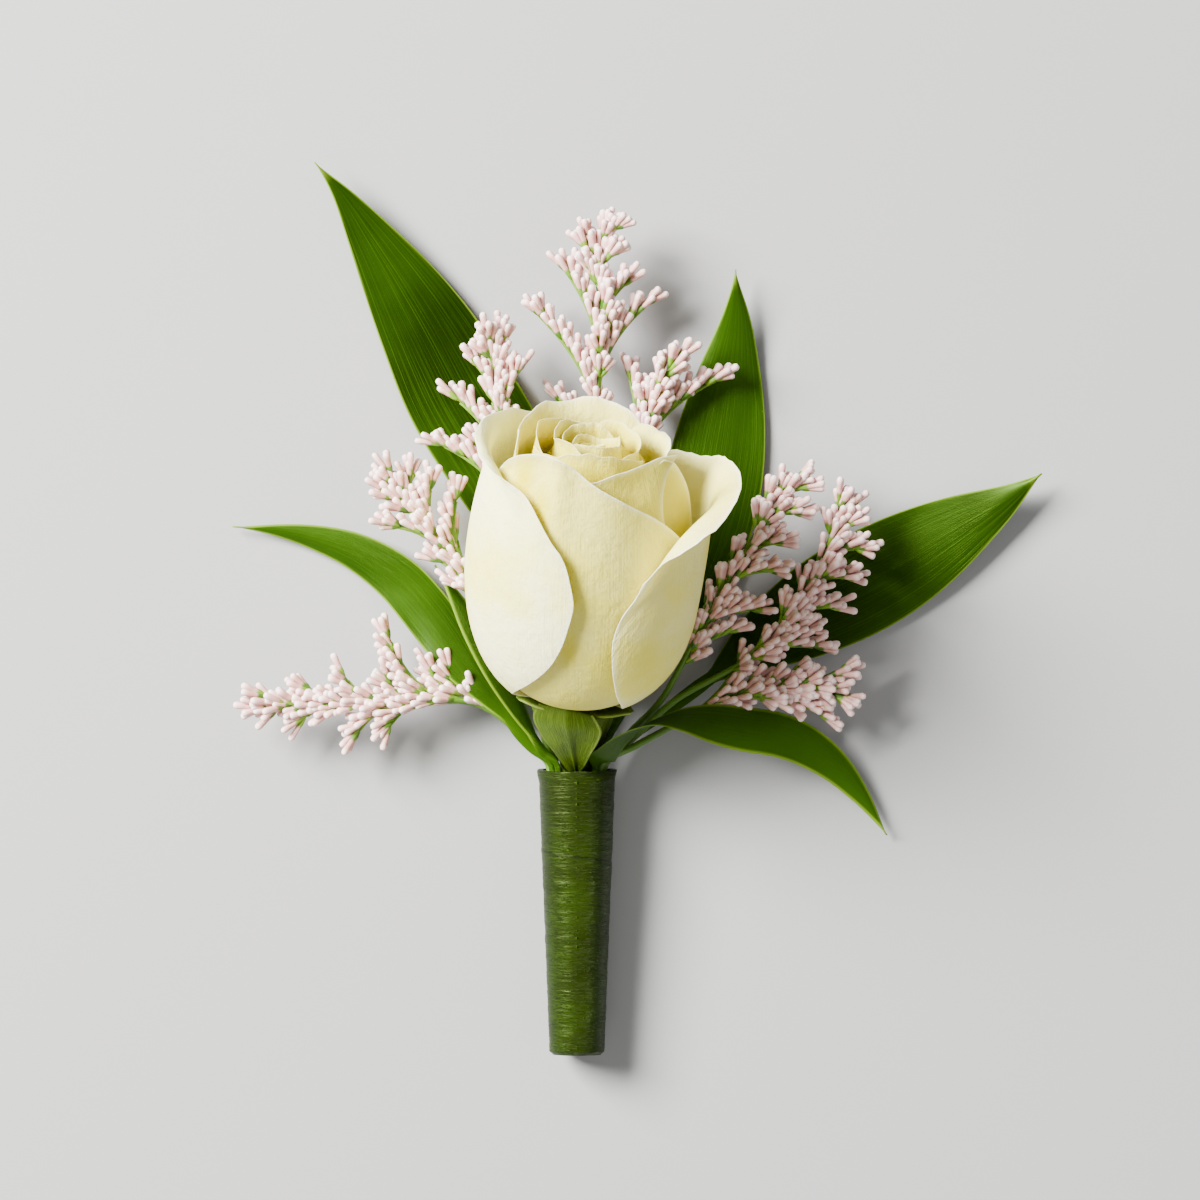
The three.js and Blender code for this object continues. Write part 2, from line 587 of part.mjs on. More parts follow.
// Buds along a curve from the share bare on, each turned a golden angle from the last and leaning out,
// and one more at the tip.
function budsAlong(curve, bare, draw) {
  const count = Math.max(1, Math.round(((1 - bare) * curve.getLength()) / BUD_STEP));
  const buds = [];
  for (let k = 0; k <= count; k++) {
    const share = lerp(bare, 0.97, k / count);
    const ahead = curve.getTangentAt(share);
    const side = ahead.clone().cross(point(0, 0, 1)).normalize();
    const top = side.clone().cross(ahead);
    const angle = degToRad(GOLDEN_ANGLE * k + 360 * draw());
    const lean = k < count ? lerp(0.45, 0.85, draw()) : 0;
    const direction = ahead
      .addScaledVector(side, lean * Math.cos(angle))
      .addScaledVector(top, 0.8 * lean * Math.sin(angle))
      .normalize();
    const length = BUD_LENGTH * (k < count ? lerp(0.8, 1, draw()) : 0.7);
    buds.push(bud(curve.getPointAt(share), direction, length));
  }
  return buds;
}

function sprayMesh(spray, index) {
  const draw = draws(101 + 17 * index);
  const main = stemCurve(spray.slot, spray.places);
  const neck = insideShare(main);
  const steps = 9;
  const stations = [0, neck * 0.5, neck];
  for (let i = 1; i <= steps; i++) stations.push(lerp(neck, 1, i / steps));
  const radius = (t) =>
    t < neck
      ? ringStemRadius(-(HANDLE_LENGTH - CUT_END_RECESS) * (1 - t / neck))
      : lerp(RING_STEM_MOUTH_RADIUS, SPRAY_TIP_RADIUS, (t - neck) / (1 - neck));
  const pieces = [tube(main, stations, 5, radius), ...budsAlong(main, lerp(neck, 1, spray.bare), draw)];
  for (const [share, ...tip] of spray.sprigs) {
    const t = lerp(neck, 1, share);
    const root = main.getPointAt(t);
    const end = point(...tip);
    const bend = root.clone().addScaledVector(main.getTangentAt(t), 0.5 * root.distanceTo(end));
    const sprig = new THREE.QuadraticBezierCurve3(root, bend, end);
    pieces.push(tube(sprig, [0, 0.5, 1], 4, (t) => lerp(SPRIG_ROOT_RADIUS, SPRIG_TIP_RADIUS, t)));
    pieces.push(...budsAlong(sprig, 0.5, draw));
  }
  return toMesh(spray.name, fuse(pieces), BUD_PINK);
}

function boutonniere() {
  const arrangement = new THREE.Group();
  const frame = roseFrame();
  frame.updateMatrix();
  frame.add(roseBloom());
  arrangement.add(stemWrap(), roseStem(frame), frame);
  LEAVES.forEach((leaf) => arrangement.add(leafMesh(leaf)));
  SPRAYS.forEach((spray, index) => arrangement.add(sprayMesh(spray, index)));
  const part = new THREE.Group();
  part.add(arrangement);
  part.updateMatrixWorld(true);
  // The part's frame starts on the table, under the middle of the whole.
  const middle = new THREE.Box3().setFromObject(part, true).getCenter(point(0, 0, 0));
  arrangement.position.set(-middle.x, -middle.y, 0);
  return part;
}

export default boutonniere();
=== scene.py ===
"""A boutonniere: one half-open cream rose, six glossy leaves and eight sprays of small pink buds, bound
with green stem tape. Every surface is worked out in millimetres from the neck, which is the middle of
the tape's mouth at table height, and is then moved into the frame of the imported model."""

import bpy
import numpy as np
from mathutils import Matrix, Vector


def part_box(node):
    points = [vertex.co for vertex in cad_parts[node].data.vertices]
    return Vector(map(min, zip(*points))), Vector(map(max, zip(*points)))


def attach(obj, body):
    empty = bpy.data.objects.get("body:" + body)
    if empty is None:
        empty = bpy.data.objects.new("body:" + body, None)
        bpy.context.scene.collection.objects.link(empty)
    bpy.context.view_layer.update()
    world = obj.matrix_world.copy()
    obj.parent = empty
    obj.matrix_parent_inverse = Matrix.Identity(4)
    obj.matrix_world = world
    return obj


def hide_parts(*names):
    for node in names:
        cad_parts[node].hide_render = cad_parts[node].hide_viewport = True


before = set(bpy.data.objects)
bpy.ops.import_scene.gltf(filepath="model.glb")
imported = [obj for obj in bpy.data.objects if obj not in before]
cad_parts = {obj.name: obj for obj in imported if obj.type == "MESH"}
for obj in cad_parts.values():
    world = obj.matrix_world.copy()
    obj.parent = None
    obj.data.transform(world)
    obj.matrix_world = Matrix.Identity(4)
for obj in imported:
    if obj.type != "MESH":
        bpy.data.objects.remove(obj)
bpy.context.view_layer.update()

bl_info = {
    "name": "Boutonniere",
    "version": (1, 0, 0),
    "blender": (4, 5, 0),
    "location": "3D View > Sidebar > Boutonniere",
    "description": "Makes a boutonniere of a rose, leaves and sprays of buds bound in stem tape",
    "category": "Add Mesh",
}

WRAP_LOW, WRAP_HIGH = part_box("stem_wrap")
NECK = np.array([(WRAP_LOW.x + WRAP_HIGH.x) / 2, WRAP_HIGH.y, 0])
MM = 0.001

# Sizes in mm and angles in degrees, as in the tables further down.
HANDLE_LENGTH = 42.7
HANDLE_MOUTH_RADIUS = 5.85
HANDLE_END_RADIUS = 4.2
TAPE_MOUTH = 0.75
TAPE_END = 0.6
TAPE_TURNS = 10
TAPE_INSET = 0.12
CLEAR_SEAM = 13
REST_FLAT = 0.15
STEM_GAP = 0.3
CUT_END_RECESS = 0.6
RING_STEM_MOUTH_RADIUS = 0.62
RING_STEM_END_RADIUS = 0.45
MOUTH_HEIGHT = HANDLE_MOUTH_RADIUS - REST_FLAT

ROSE_TILT = 30
ROSE_LEAN = 2
HIP_LENGTH = 12.6
BELLY_RADIUS = 17.6
PETAL_FOOT_RADIUS = 3
HEART_RADIUS = 7.5
HEART_HEIGHT = 41.2


# ---- curves and surfaces, all as whole arrays


def lerp(a, b, t):
    """From a to b by the share t."""
    return a + (b - a) * t


def circle(count):
    """That many angles, evenly round a circle."""
    return np.linspace(0, 2 * np.pi, count, endpoint=False)


def eased(x, low, high):
    """0 below low, 1 above high, and 3t^2 - 2t^3 of the share t in between."""
    t = np.clip((x - low) / (high - low), 0, 1)
    return t * t * (3 - 2 * t)


def unit(vectors):
    """Each vector divided by its length."""
    return vectors / np.maximum(np.linalg.norm(vectors, axis=-1, keepdims=True), 1e-12)


def cubic(t, a, b, from_a, to_b):
    """The place at the share t of a cubic piece from a to b that leaves a and reaches b with those
    slopes."""
    start = (2 * t**3 - 3 * t**2 + 1) * a + (t**3 - 2 * t**2 + t) * from_a
    return start + (3 * t**2 - 2 * t**3) * b + (t**3 - t**2) * to_b


def smooth_curve(x, knots):
    """Values at x on a curve through (x, value) knots: cubic pieces whose slope at each knot is the
    mean slope of its neighbours, level beyond the ends. A plain number is the same all along."""
    if np.isscalar(knots):
        return knots + 0 * x
    xs, ys = np.array(knots, float).T
    x = np.clip(x, xs[0], xs[-1])
    slope = np.gradient(ys, xs)
    i = np.clip(np.searchsorted(xs, x, side="right") - 1, 0, len(xs) - 2)
    step = xs[i + 1] - xs[i]
    return cubic((x - xs[i]) / step, ys[i], ys[i + 1], step * slope[i], step * slope[i + 1])


def through(points, count):
    """A curve through points, as count evenly spaced stations: Catmull-Rom pieces whose knots are
    spaced by the square root of the distance between the points."""
    points = np.asarray(points, float)
    ends = np.vstack([2 * points[:1] - points[1:2], points, 2 * points[-1:] - points[-2:-1]])
    gap = np.sqrt(np.linalg.norm(np.diff(ends, axis=0), axis=1))[:, None]
    p0, p1, p2, p3 = ends[:-3], ends[1:-2], ends[2:-1], ends[3:]
    d0, d1, d2 = gap[:-2], gap[1:-1], gap[2:]
    m1 = ((p1 - p0) / d0 - (p2 - p0) / (d0 + d1) + (p2 - p1) / d1) * d1
    m2 = ((p2 - p1) / d1 - (p3 - p1) / (d1 + d2) + (p3 - p2) / d2) * d1
    t = np.linspace(0, 1, 24, endpoint=False)[None, :, None]
    p1, p2, m1, m2 = (a[:, None] for a in (p1, p2, m1, m2))
    dense = cubic(t, p1, p2, m1, m2).reshape(-1, 3)
    return evenly(np.vstack([dense, points[-1:]]), count)


def evenly(path, count):
    """The same path at count stations, evenly spaced along its length."""
    length = np.r_[0, np.cumsum(np.linalg.norm(np.diff(path, axis=0), axis=1))]
    at = np.linspace(0, length[-1], count)
    return np.stack([np.interp(at, length, path[:, k]) for k in range(3)], -1)


def path_length(path):
    """How long a path is."""
    return np.linalg.norm(np.diff(path, axis=0), axis=1).sum()


def grid_faces(rows, columns, round_and_round=False):
    """Four-sided faces of a grid of points, facing along columns x rows. The last column joins the
    first where the grid goes round."""
    width = columns if round_and_round else columns - 1
    j, i = np.meshgrid(np.arange(rows - 1), np.arange(width), indexing="ij")
    here, after = j * columns + i, j * columns + (i + 1) % columns
    return np.stack([here, after, after + columns, here + columns], -1).reshape(-1, 4)


def capped_faces(rows, columns, flip=False):
    """Faces of rows of points that go round and round, with a fan to one more point at each end. The
    two end points follow the rows."""
    ring, count = np.arange(columns), rows * columns
    after, last = np.roll(ring, -1), count - columns
    faces = grid_faces(rows, columns, True).tolist()
    faces += [[count, b, a] for a, b in zip(ring, after)]
    faces += [[count + 1, a, b] for a, b in zip(ring + last, after + last)]
    return [face[::-1] for face in faces] if flip else faces


def closed_sheet(outer, thickness):
    """A closed sheet: the grid outer, a second grid one thickness behind it along the surface normal
    (columns x rows), and between their edges a ring of points pushed out by half a thickness. The
    third thing it gives is the grid's points along its edge, in the order of that ring."""
    rows, columns = outer.shape[:2]
    across, along = np.gradient(outer, axis=1), np.gradient(outer, axis=0)
    inner = outer - unit(np.cross(across, along)) * np.asarray(thickness)[..., None]
    index = np.arange(rows * columns).reshape(rows, columns)
    edge = np.r_[index[0, :-1], index[:-1, -1], index[-1, :0:-1], index[:0:-1, 0]]
    next_in = np.r_[index[1, :-1], index[:-1, -2], index[-2, :0:-1], index[:0:-1, 1]]
    flat_outer, flat_inner = outer.reshape(-1, 3), inner.reshape(-1, 3)
    middle = (flat_outer[edge] + flat_inner[edge]) / 2
    away = unit(flat_outer[edge] - flat_outer[next_in])
    depth = np.linalg.norm(flat_outer[edge] - flat_inner[edge], axis=1, keepdims=True)
    places = np.vstack([flat_outer, flat_inner, middle + away * depth / 2])
    count = rows * columns
    faces = grid_faces(rows, columns)
    ring = np.arange(len(edge)) + 2 * count
    after, ring_after = np.roll(edge, -1), np.roll(ring, -1)
    return places, np.vstack([
        faces,
        faces[:, ::-1] + count,
        np.stack([after, edge, ring, ring_after], -1),
        np.stack([ring_after, ring, edge + count, after + count], -1),
    ]), edge


def sides_of(path):
    """Unit vectors to a path's right and upwards across it, at each of its points."""
    ahead = unit(np.gradient(path, axis=0))
    upright = np.where(np.abs(ahead[:, 2:3]) > 0.95, [[1.0, 0, 0]], [[0, 0, 1.0]])
    right = unit(np.cross(ahead, upright))
    return right, np.cross(right, ahead)


def tube(path, radii, sides):
    """A round tube along a path: circles of those radii across it, closed by a point at each end."""
    right, up = sides_of(path)
    angle = circle(sides)[None, :, None]
    radii = np.broadcast_to(radii, len(path))[:, None, None]
    rings = path[:, None] + radii * (np.cos(angle) * right[:, None] + np.sin(angle) * up[:, None])
    places = np.vstack([rings.reshape(-1, 3), path[:1], path[-1:]])
    return places, capped_faces(len(path), sides, flip=True)


def noise_wave(x, y, seed, count=5):
    """A smooth uneven wave, mostly between -1 and 1: the sum of sines with seeded directions, divided
    by the square root of their number."""
    rng = np.random.default_rng(seed)
    total = np.zeros(np.broadcast(x, y).shape)
    for a, b, c in zip(rng.normal(0, 1, count), rng.normal(0, 1, count), rng.uniform(0, 6.3, count)):
        total = total + np.sin(a * x + b * y + c)
    return total / np.sqrt(count)


# ---- pieces


class Parts:
    """Meshes gathered into one: their points, faces and one value for each point under each name."""

    def __init__(self):
        self.places, self.faces, self.values, self.count = [], [], {}, 0

    def add(self, places, faces, **values):
        """Adds a mesh, each of whose values is one number or one for each of its points."""
        places = np.asarray(places, float).reshape(-1, 3)
        self.places.append(places)
        self.faces += [[int(i) + self.count for i in face] for face in faces]
        for name, value in values.items():
            filled = np.broadcast_to(np.asarray(value, float), len(places))
            self.values.setdefault(name, []).append(filled)
        self.count += len(places)

    def add_sheet(self, outer, thickness, **values):
        """Adds a closed sheet, each of whose values is one for each point of its grid."""
        places, faces, edge = closed_sheet(outer, thickness)
        flat = {name: value.ravel() for name, value in values.items()}
        self.add(places, faces, **{name: np.r_[f, f, f[edge]] for name, f in flat.items()})


def make_piece(name, parts, node, material):
    """A smooth mesh object from gathered parts, riding on the bunch in place of a CAD node."""
    mesh = bpy.data.meshes.new(name)
    places = np.vstack(parts.places) * MM + NECK
    mesh.from_pydata(places.tolist(), [], parts.faces)
    mesh.validate()
    for key, value in parts.values.items():
        layer = mesh.attributes.new(key, "FLOAT", "POINT")
        layer.data.foreach_set("value", np.concatenate(value).astype(np.float32))
    mesh.shade_smooth()
    mesh.materials.append(material)
    piece = bpy.data.objects.new(name, mesh)
    bpy.context.scene.collection.objects.link(piece)
    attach(piece, "root")
    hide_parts(node)


# ---- finishes


class Socket:
    """A link between a finish's nodes. Adding, multiplying and so on add Math nodes."""

    def __init__(self, finish, link):
        self.finish, self.link = finish, link

    def maths(self, operation, *values):
        """Any other operation of a Math node."""
        return self.finish.add("ShaderNodeMath", {"operation": operation}, dict(enumerate(values)))

    def __add__(self, other):
        return self.maths("ADD", self, other)

    __radd__ = __add__

    def __sub__(self, other):
        return self.maths("SUBTRACT", self, other)

    def __rsub__(self, other):
        return self.maths("SUBTRACT", other, self)

    def __mul__(self, other):
        return self.maths("MULTIPLY", self, other)

    __rmul__ = __mul__


class Finish:
    """A material whose nodes are added one by one, ending in a Principled shader."""

    def __init__(self, name, **constants):
        self.material = bpy.data.materials.new(name)
        self.material.use_nodes = True
        self.tree = self.material.node_tree
        self.shader = self.tree.nodes["Principled BSDF"]
        for socket, value in constants.items():
            self.shader.inputs[socket.replace("_", " ")].default_value = value

    def add(self, kind, settings, values, output=0):
        """A node of that type, with its settings made first and then its sockets filled or linked."""
        node = self.tree.nodes.new(kind)
        for key, value in settings.items():
            setattr(node, key, value)
        for socket, value in values.items():
            if isinstance(value, Socket):
                self.tree.links.new(value.link, node.inputs[socket])
            else:
                node.inputs[socket].default_value = value
        return Socket(self, node.outputs[output])

    def value(self, name):
        """The piece's own value under that name."""
        return self.add("ShaderNodeAttribute", {"attribute_name": name}, {}, 2)

    def places(self):
        """Object coordinates."""
        return self.add("ShaderNodeTexCoord", {}, {}, 3)

    def vector(self, x, y, z):
        """The three values as one vector."""
        return self.add("ShaderNodeCombineXYZ", {}, {0: x, 1: y, 2: z})

    def noise(self, vector, scale, detail=2.0, roughness=0.5):
        """Smooth noise between 0 and 1, mostly near 0.5."""
        values = {"Vector": vector, "Scale": scale, "Detail": detail, "Roughness": roughness}
        return self.add("ShaderNodeTexNoise", {}, values)

    def between(self, value, low, high, to_low=0.0, to_high=1.0):
        """value eased from low..high to to_low..to_high."""
        settings = {"interpolation_type": "SMOOTHSTEP"}
        values = {0: value, 1: low, 2: high, 3: to_low, 4: to_high}
        return self.add("ShaderNodeMapRange", settings, values)

    def mix(self, share, first, second):
        """From the first colour to the second."""
        first, second = (c if isinstance(c, Socket) else (*c[:3], 1) for c in (first, second))
        return self.add("ShaderNodeMix", {"data_type": "RGBA"}, {0: share, 6: first, 7: second}, 2)

    def finish(self, colour=None, roughness=None, height=None, depth=0.0001):
        """Links colour and roughness to the shader, and height through a Bump node of that depth."""
        for socket, value in (("Base Color", colour), ("Roughness", roughness)):
            if value is not None:
                self.tree.links.new(value.link, self.shader.inputs[socket])
        if height is not None:
            bump = self.add("ShaderNodeBump", {}, {"Height": height, "Distance": depth, "Strength": 1.0})
            self.tree.links.new(bump.link, self.shader.inputs["Normal"])
        return self.material


def srgb(code):
    """A colour of a six-figure code as linear light."""
    parts = np.array([int(code[i : i + 2], 16) for i in (0, 2, 4)]) / 255
    return tuple(np.where(parts <= 0.04045, parts / 12.92, ((parts + 0.055) / 1.055) ** 2.4))


def petal_finish(colours):
    """Cream, yellower where a petal lies far in the bud (partly its own yellow, partly painted shade)
    and in the painted shade of its hollows and of petals that lie in shade, greener at its foot, ivory
    at its rim (partly its own pale edge, partly a painted highlight), with fine veins that fan out
    towards the rim and a soft crepe."""
    f = Finish("petal_satin", Roughness=0.5, Subsurface_Weight=0.25, Subsurface_Scale=0.0015,
               Specular_IOR_Level=0.25, Specular_Tint=(1, 0.93, 0.35, 1))
    f.shader.inputs["Subsurface Radius"].default_value = (1.0, 0.85, 0.45)
    across, along, fold, edge = (f.value(n) for n in ("across", "along", "fold", "edge"))
    places = f.places()
    blotch = f.noise(places, 90.0, 3.0)
    vein_lines = f.noise(f.vector(across * 60.0, along * 2.2, 0.0), 1.0, 3.0, 0.6)
    crepe = f.noise(places, 520.0, 3.0, 0.6)
    pores = f.noise(places, 2600.0, 1.0)
    body = f.mix(f.between(blotch, 0.3, 0.7), colours.petal, colours.petal_pale)
    body = f.mix(f.between(along, 0.55, 1.0) * 0.7, body, colours.petal_pale)
    body = f.mix(f.between(along, 0.2, 0.0) * 0.45, body, colours.petal_foot)
    # Partly the petals' own yellow far in the bud, partly painted shade in the hollows and on the petals
    # that lie in shade.
    body = f.mix(fold, body, colours.petal_fold_and_shade)
    body = f.mix(f.between(vein_lines, 0.5, 0.72) * 0.07, body, colours.petal_fold_and_shade)
    # The ivory rim is partly the petal's own pale edge and partly a painted highlight along the thin
    # edge.
    body = f.mix(edge * 0.75, body, colours.petal_rim_and_highlight)
    ripple = f.noise(f.vector(across * 9.0 + blotch * 3.0, along * 26.0, 0.0), 1.0, 3.0, 0.6)
    height = vein_lines * 0.16 + ripple * 0.5 + crepe * 0.4 + pores * 0.05
    return f.finish(body, f.between(crepe, 0.3, 0.7, 0.42, 0.6), height, 0.00042)


def leaf_finish(colours):
    """Glossy dark green with fine veins side by side along the blade and pale edges and tip; the edges
    are partly the leaf's own pale margin and partly a painted highlight, and painted light lifts the
    leaves that lie in the rose's shadow."""
    f = Finish("leaf_gloss", Coat_Weight=0.03, Coat_Roughness=0.2, Specular_IOR_Level=0.32,
               Specular_Tint=(0.4, 0.75, 0.1, 1))
    across, along, edge, depth = (f.value(n) for n in ("across", "along", "edge", "shade"))
    places = f.places()
    wander = f.noise(places, 60.0, 2.0)
    veins = f.noise(f.vector(across * 34.0 + wander * 1.5, along * 1.6, depth), 1.0, 2.0, 0.65)
    fine = f.noise(f.vector(across * 90.0, along * 5.0, depth + 3.0), 1.0, 2.0, 0.6)
    patches = f.noise(places, 38.0, 3.0)
    # Painted light: leaves that lie in the rose's shadow are made lighter, on top of random lighter
    # patches.
    light = f.between(patches, 0.32, 0.68) * 0.35 + f.value("bright") * 0.65
    body = f.mix(light, colours.leaf, colours.leaf_light_and_lift)
    body = f.mix(f.between(veins, 0.48, 0.7) * 0.5, body, colours.leaf_vein)
    body = f.mix(f.between(fine, 0.55, 0.75) * 0.18, body, colours.leaf_vein)
    body = f.mix(f.between(along, 0.16, 0.0) * 0.6, body, colours.leaf_vein)
    # The pale edge is partly the leaf's own pale margin and partly a painted highlight along it.
    body = f.mix(edge, body, colours.leaf_edge_and_highlight)
    height = (veins * 0.7 + fine * 0.2 + patches * 0.3) * f.between(along, 0.94, 0.7)
    return f.finish(body, f.between(patches, 0.3, 0.7, 0.28, 0.42), height, 0.00012)


def tape_finish(colours):
    """Waxy green crepe pressed all over with short raised squiggles that lie across the tape, lightened
    by a painted highlight, soft blotches and a darker line where one turn of the tape ends on the next."""
    f = Finish("tape_crepe", Specular_IOR_Level=0.24, Specular_Tint=(0.65, 0.9, 0.3, 1))
    east, north, along, seam = (f.value(n) for n in ("east", "north", "along", "seam"))
    bend = f.noise(f.vector(east * 2.4, along * 0.9, north * 2.4), 1.0, 2.0)
    lines = f.noise(f.vector(east * 2.0, along * 6.6 + bend * 4.0, north * 2.0), 1.0, 0.0, 0.5)
    squiggle = f.between(lines.maths("ABSOLUTE", lines - 0.5), 0.06, 0.0)
    fine = f.noise(f.vector(east * 10.0, along * 7.0, north * 10.0), 1.0, 3.0, 0.6)
    blotch = f.noise(f.places(), 120.0, 3.0)
    body = f.mix(f.between(blotch, 0.3, 0.7) * 0.4, colours.tape, colours.tape_light_and_highlight)
    body = f.mix(f.between(fine, 0.5, 0.3) * 0.3, body, colours.tape_dark)
    # Painted highlight: the raised squiggles are made lighter, as where they catch the light.
    body = f.mix(squiggle * 0.6, body, colours.tape_light_and_highlight)
    body = f.mix(seam * 0.85, body, colours.tape_dark)
    height = squiggle + fine * 0.15
    return f.finish(body, f.between(fine, 0.3, 0.7, 0.34, 0.46), height, 0.00026)


def stem_finish(name, colours):
    """Green with fine streaks along it, darker in patches, and pale where its edge value is high."""
    f = Finish(name, Specular_IOR_Level=0.45, Specular_Tint=(0.6, 0.85, 0.25, 1))
    across, along, edge = (f.value(n) for n in ("across", "along", "edge"))
    streaks = f.noise(f.vector(across * 16.0, along * 2.5, 0.0), 1.0, 3.0, 0.6)
    patches = f.noise(f.places(), 220.0, 3.0)
    body = f.mix(f.between(patches, 0.3, 0.7), colours.stem, colours.stem_light)
    body = f.mix(f.between(streaks, 0.45, 0.7) * 0.6, body, colours.stem_streak)
    body = f.mix(edge, body, colours.stem_pale)
    height = streaks * 0.8 + patches * 0.4
    return f.finish(body, f.between(patches, 0.3, 0.7, 0.34, 0.5), height, 0.0004)


def bud_finish(colours):
    """Yellow-green stems and calyxes, then pink that pales to the bud's rounded tip."""
    f = Finish("bud_velvet", Roughness=0.5, Subsurface_Weight=0.2, Subsurface_Scale=0.0006,
               Specular_IOR_Level=0.4)
    tone, along = f.value("tone"), f.value("along")
    patches = f.noise(f.places(), 420.0, 2.0)
    green = f.mix(tone, colours.calyx, colours.spray_stem)
    pink = f.mix(f.between(patches + tone * 0.4, 0.35, 0.95), colours.bud, colours.bud_deep)
    pink = f.mix(f.between(along, 0.75, 0.4) * 0.55, pink, colours.bud_deep)
    pink = f.mix(f.between(along, 0.7, 1.0) * 0.8, pink, colours.bud_tip)
    body = f.mix(f.between(along, 0.35, 0.48), green, pink)
    return f.finish(body, None, f.noise(f.places(), 1500.0, 2.0), 0.00006)
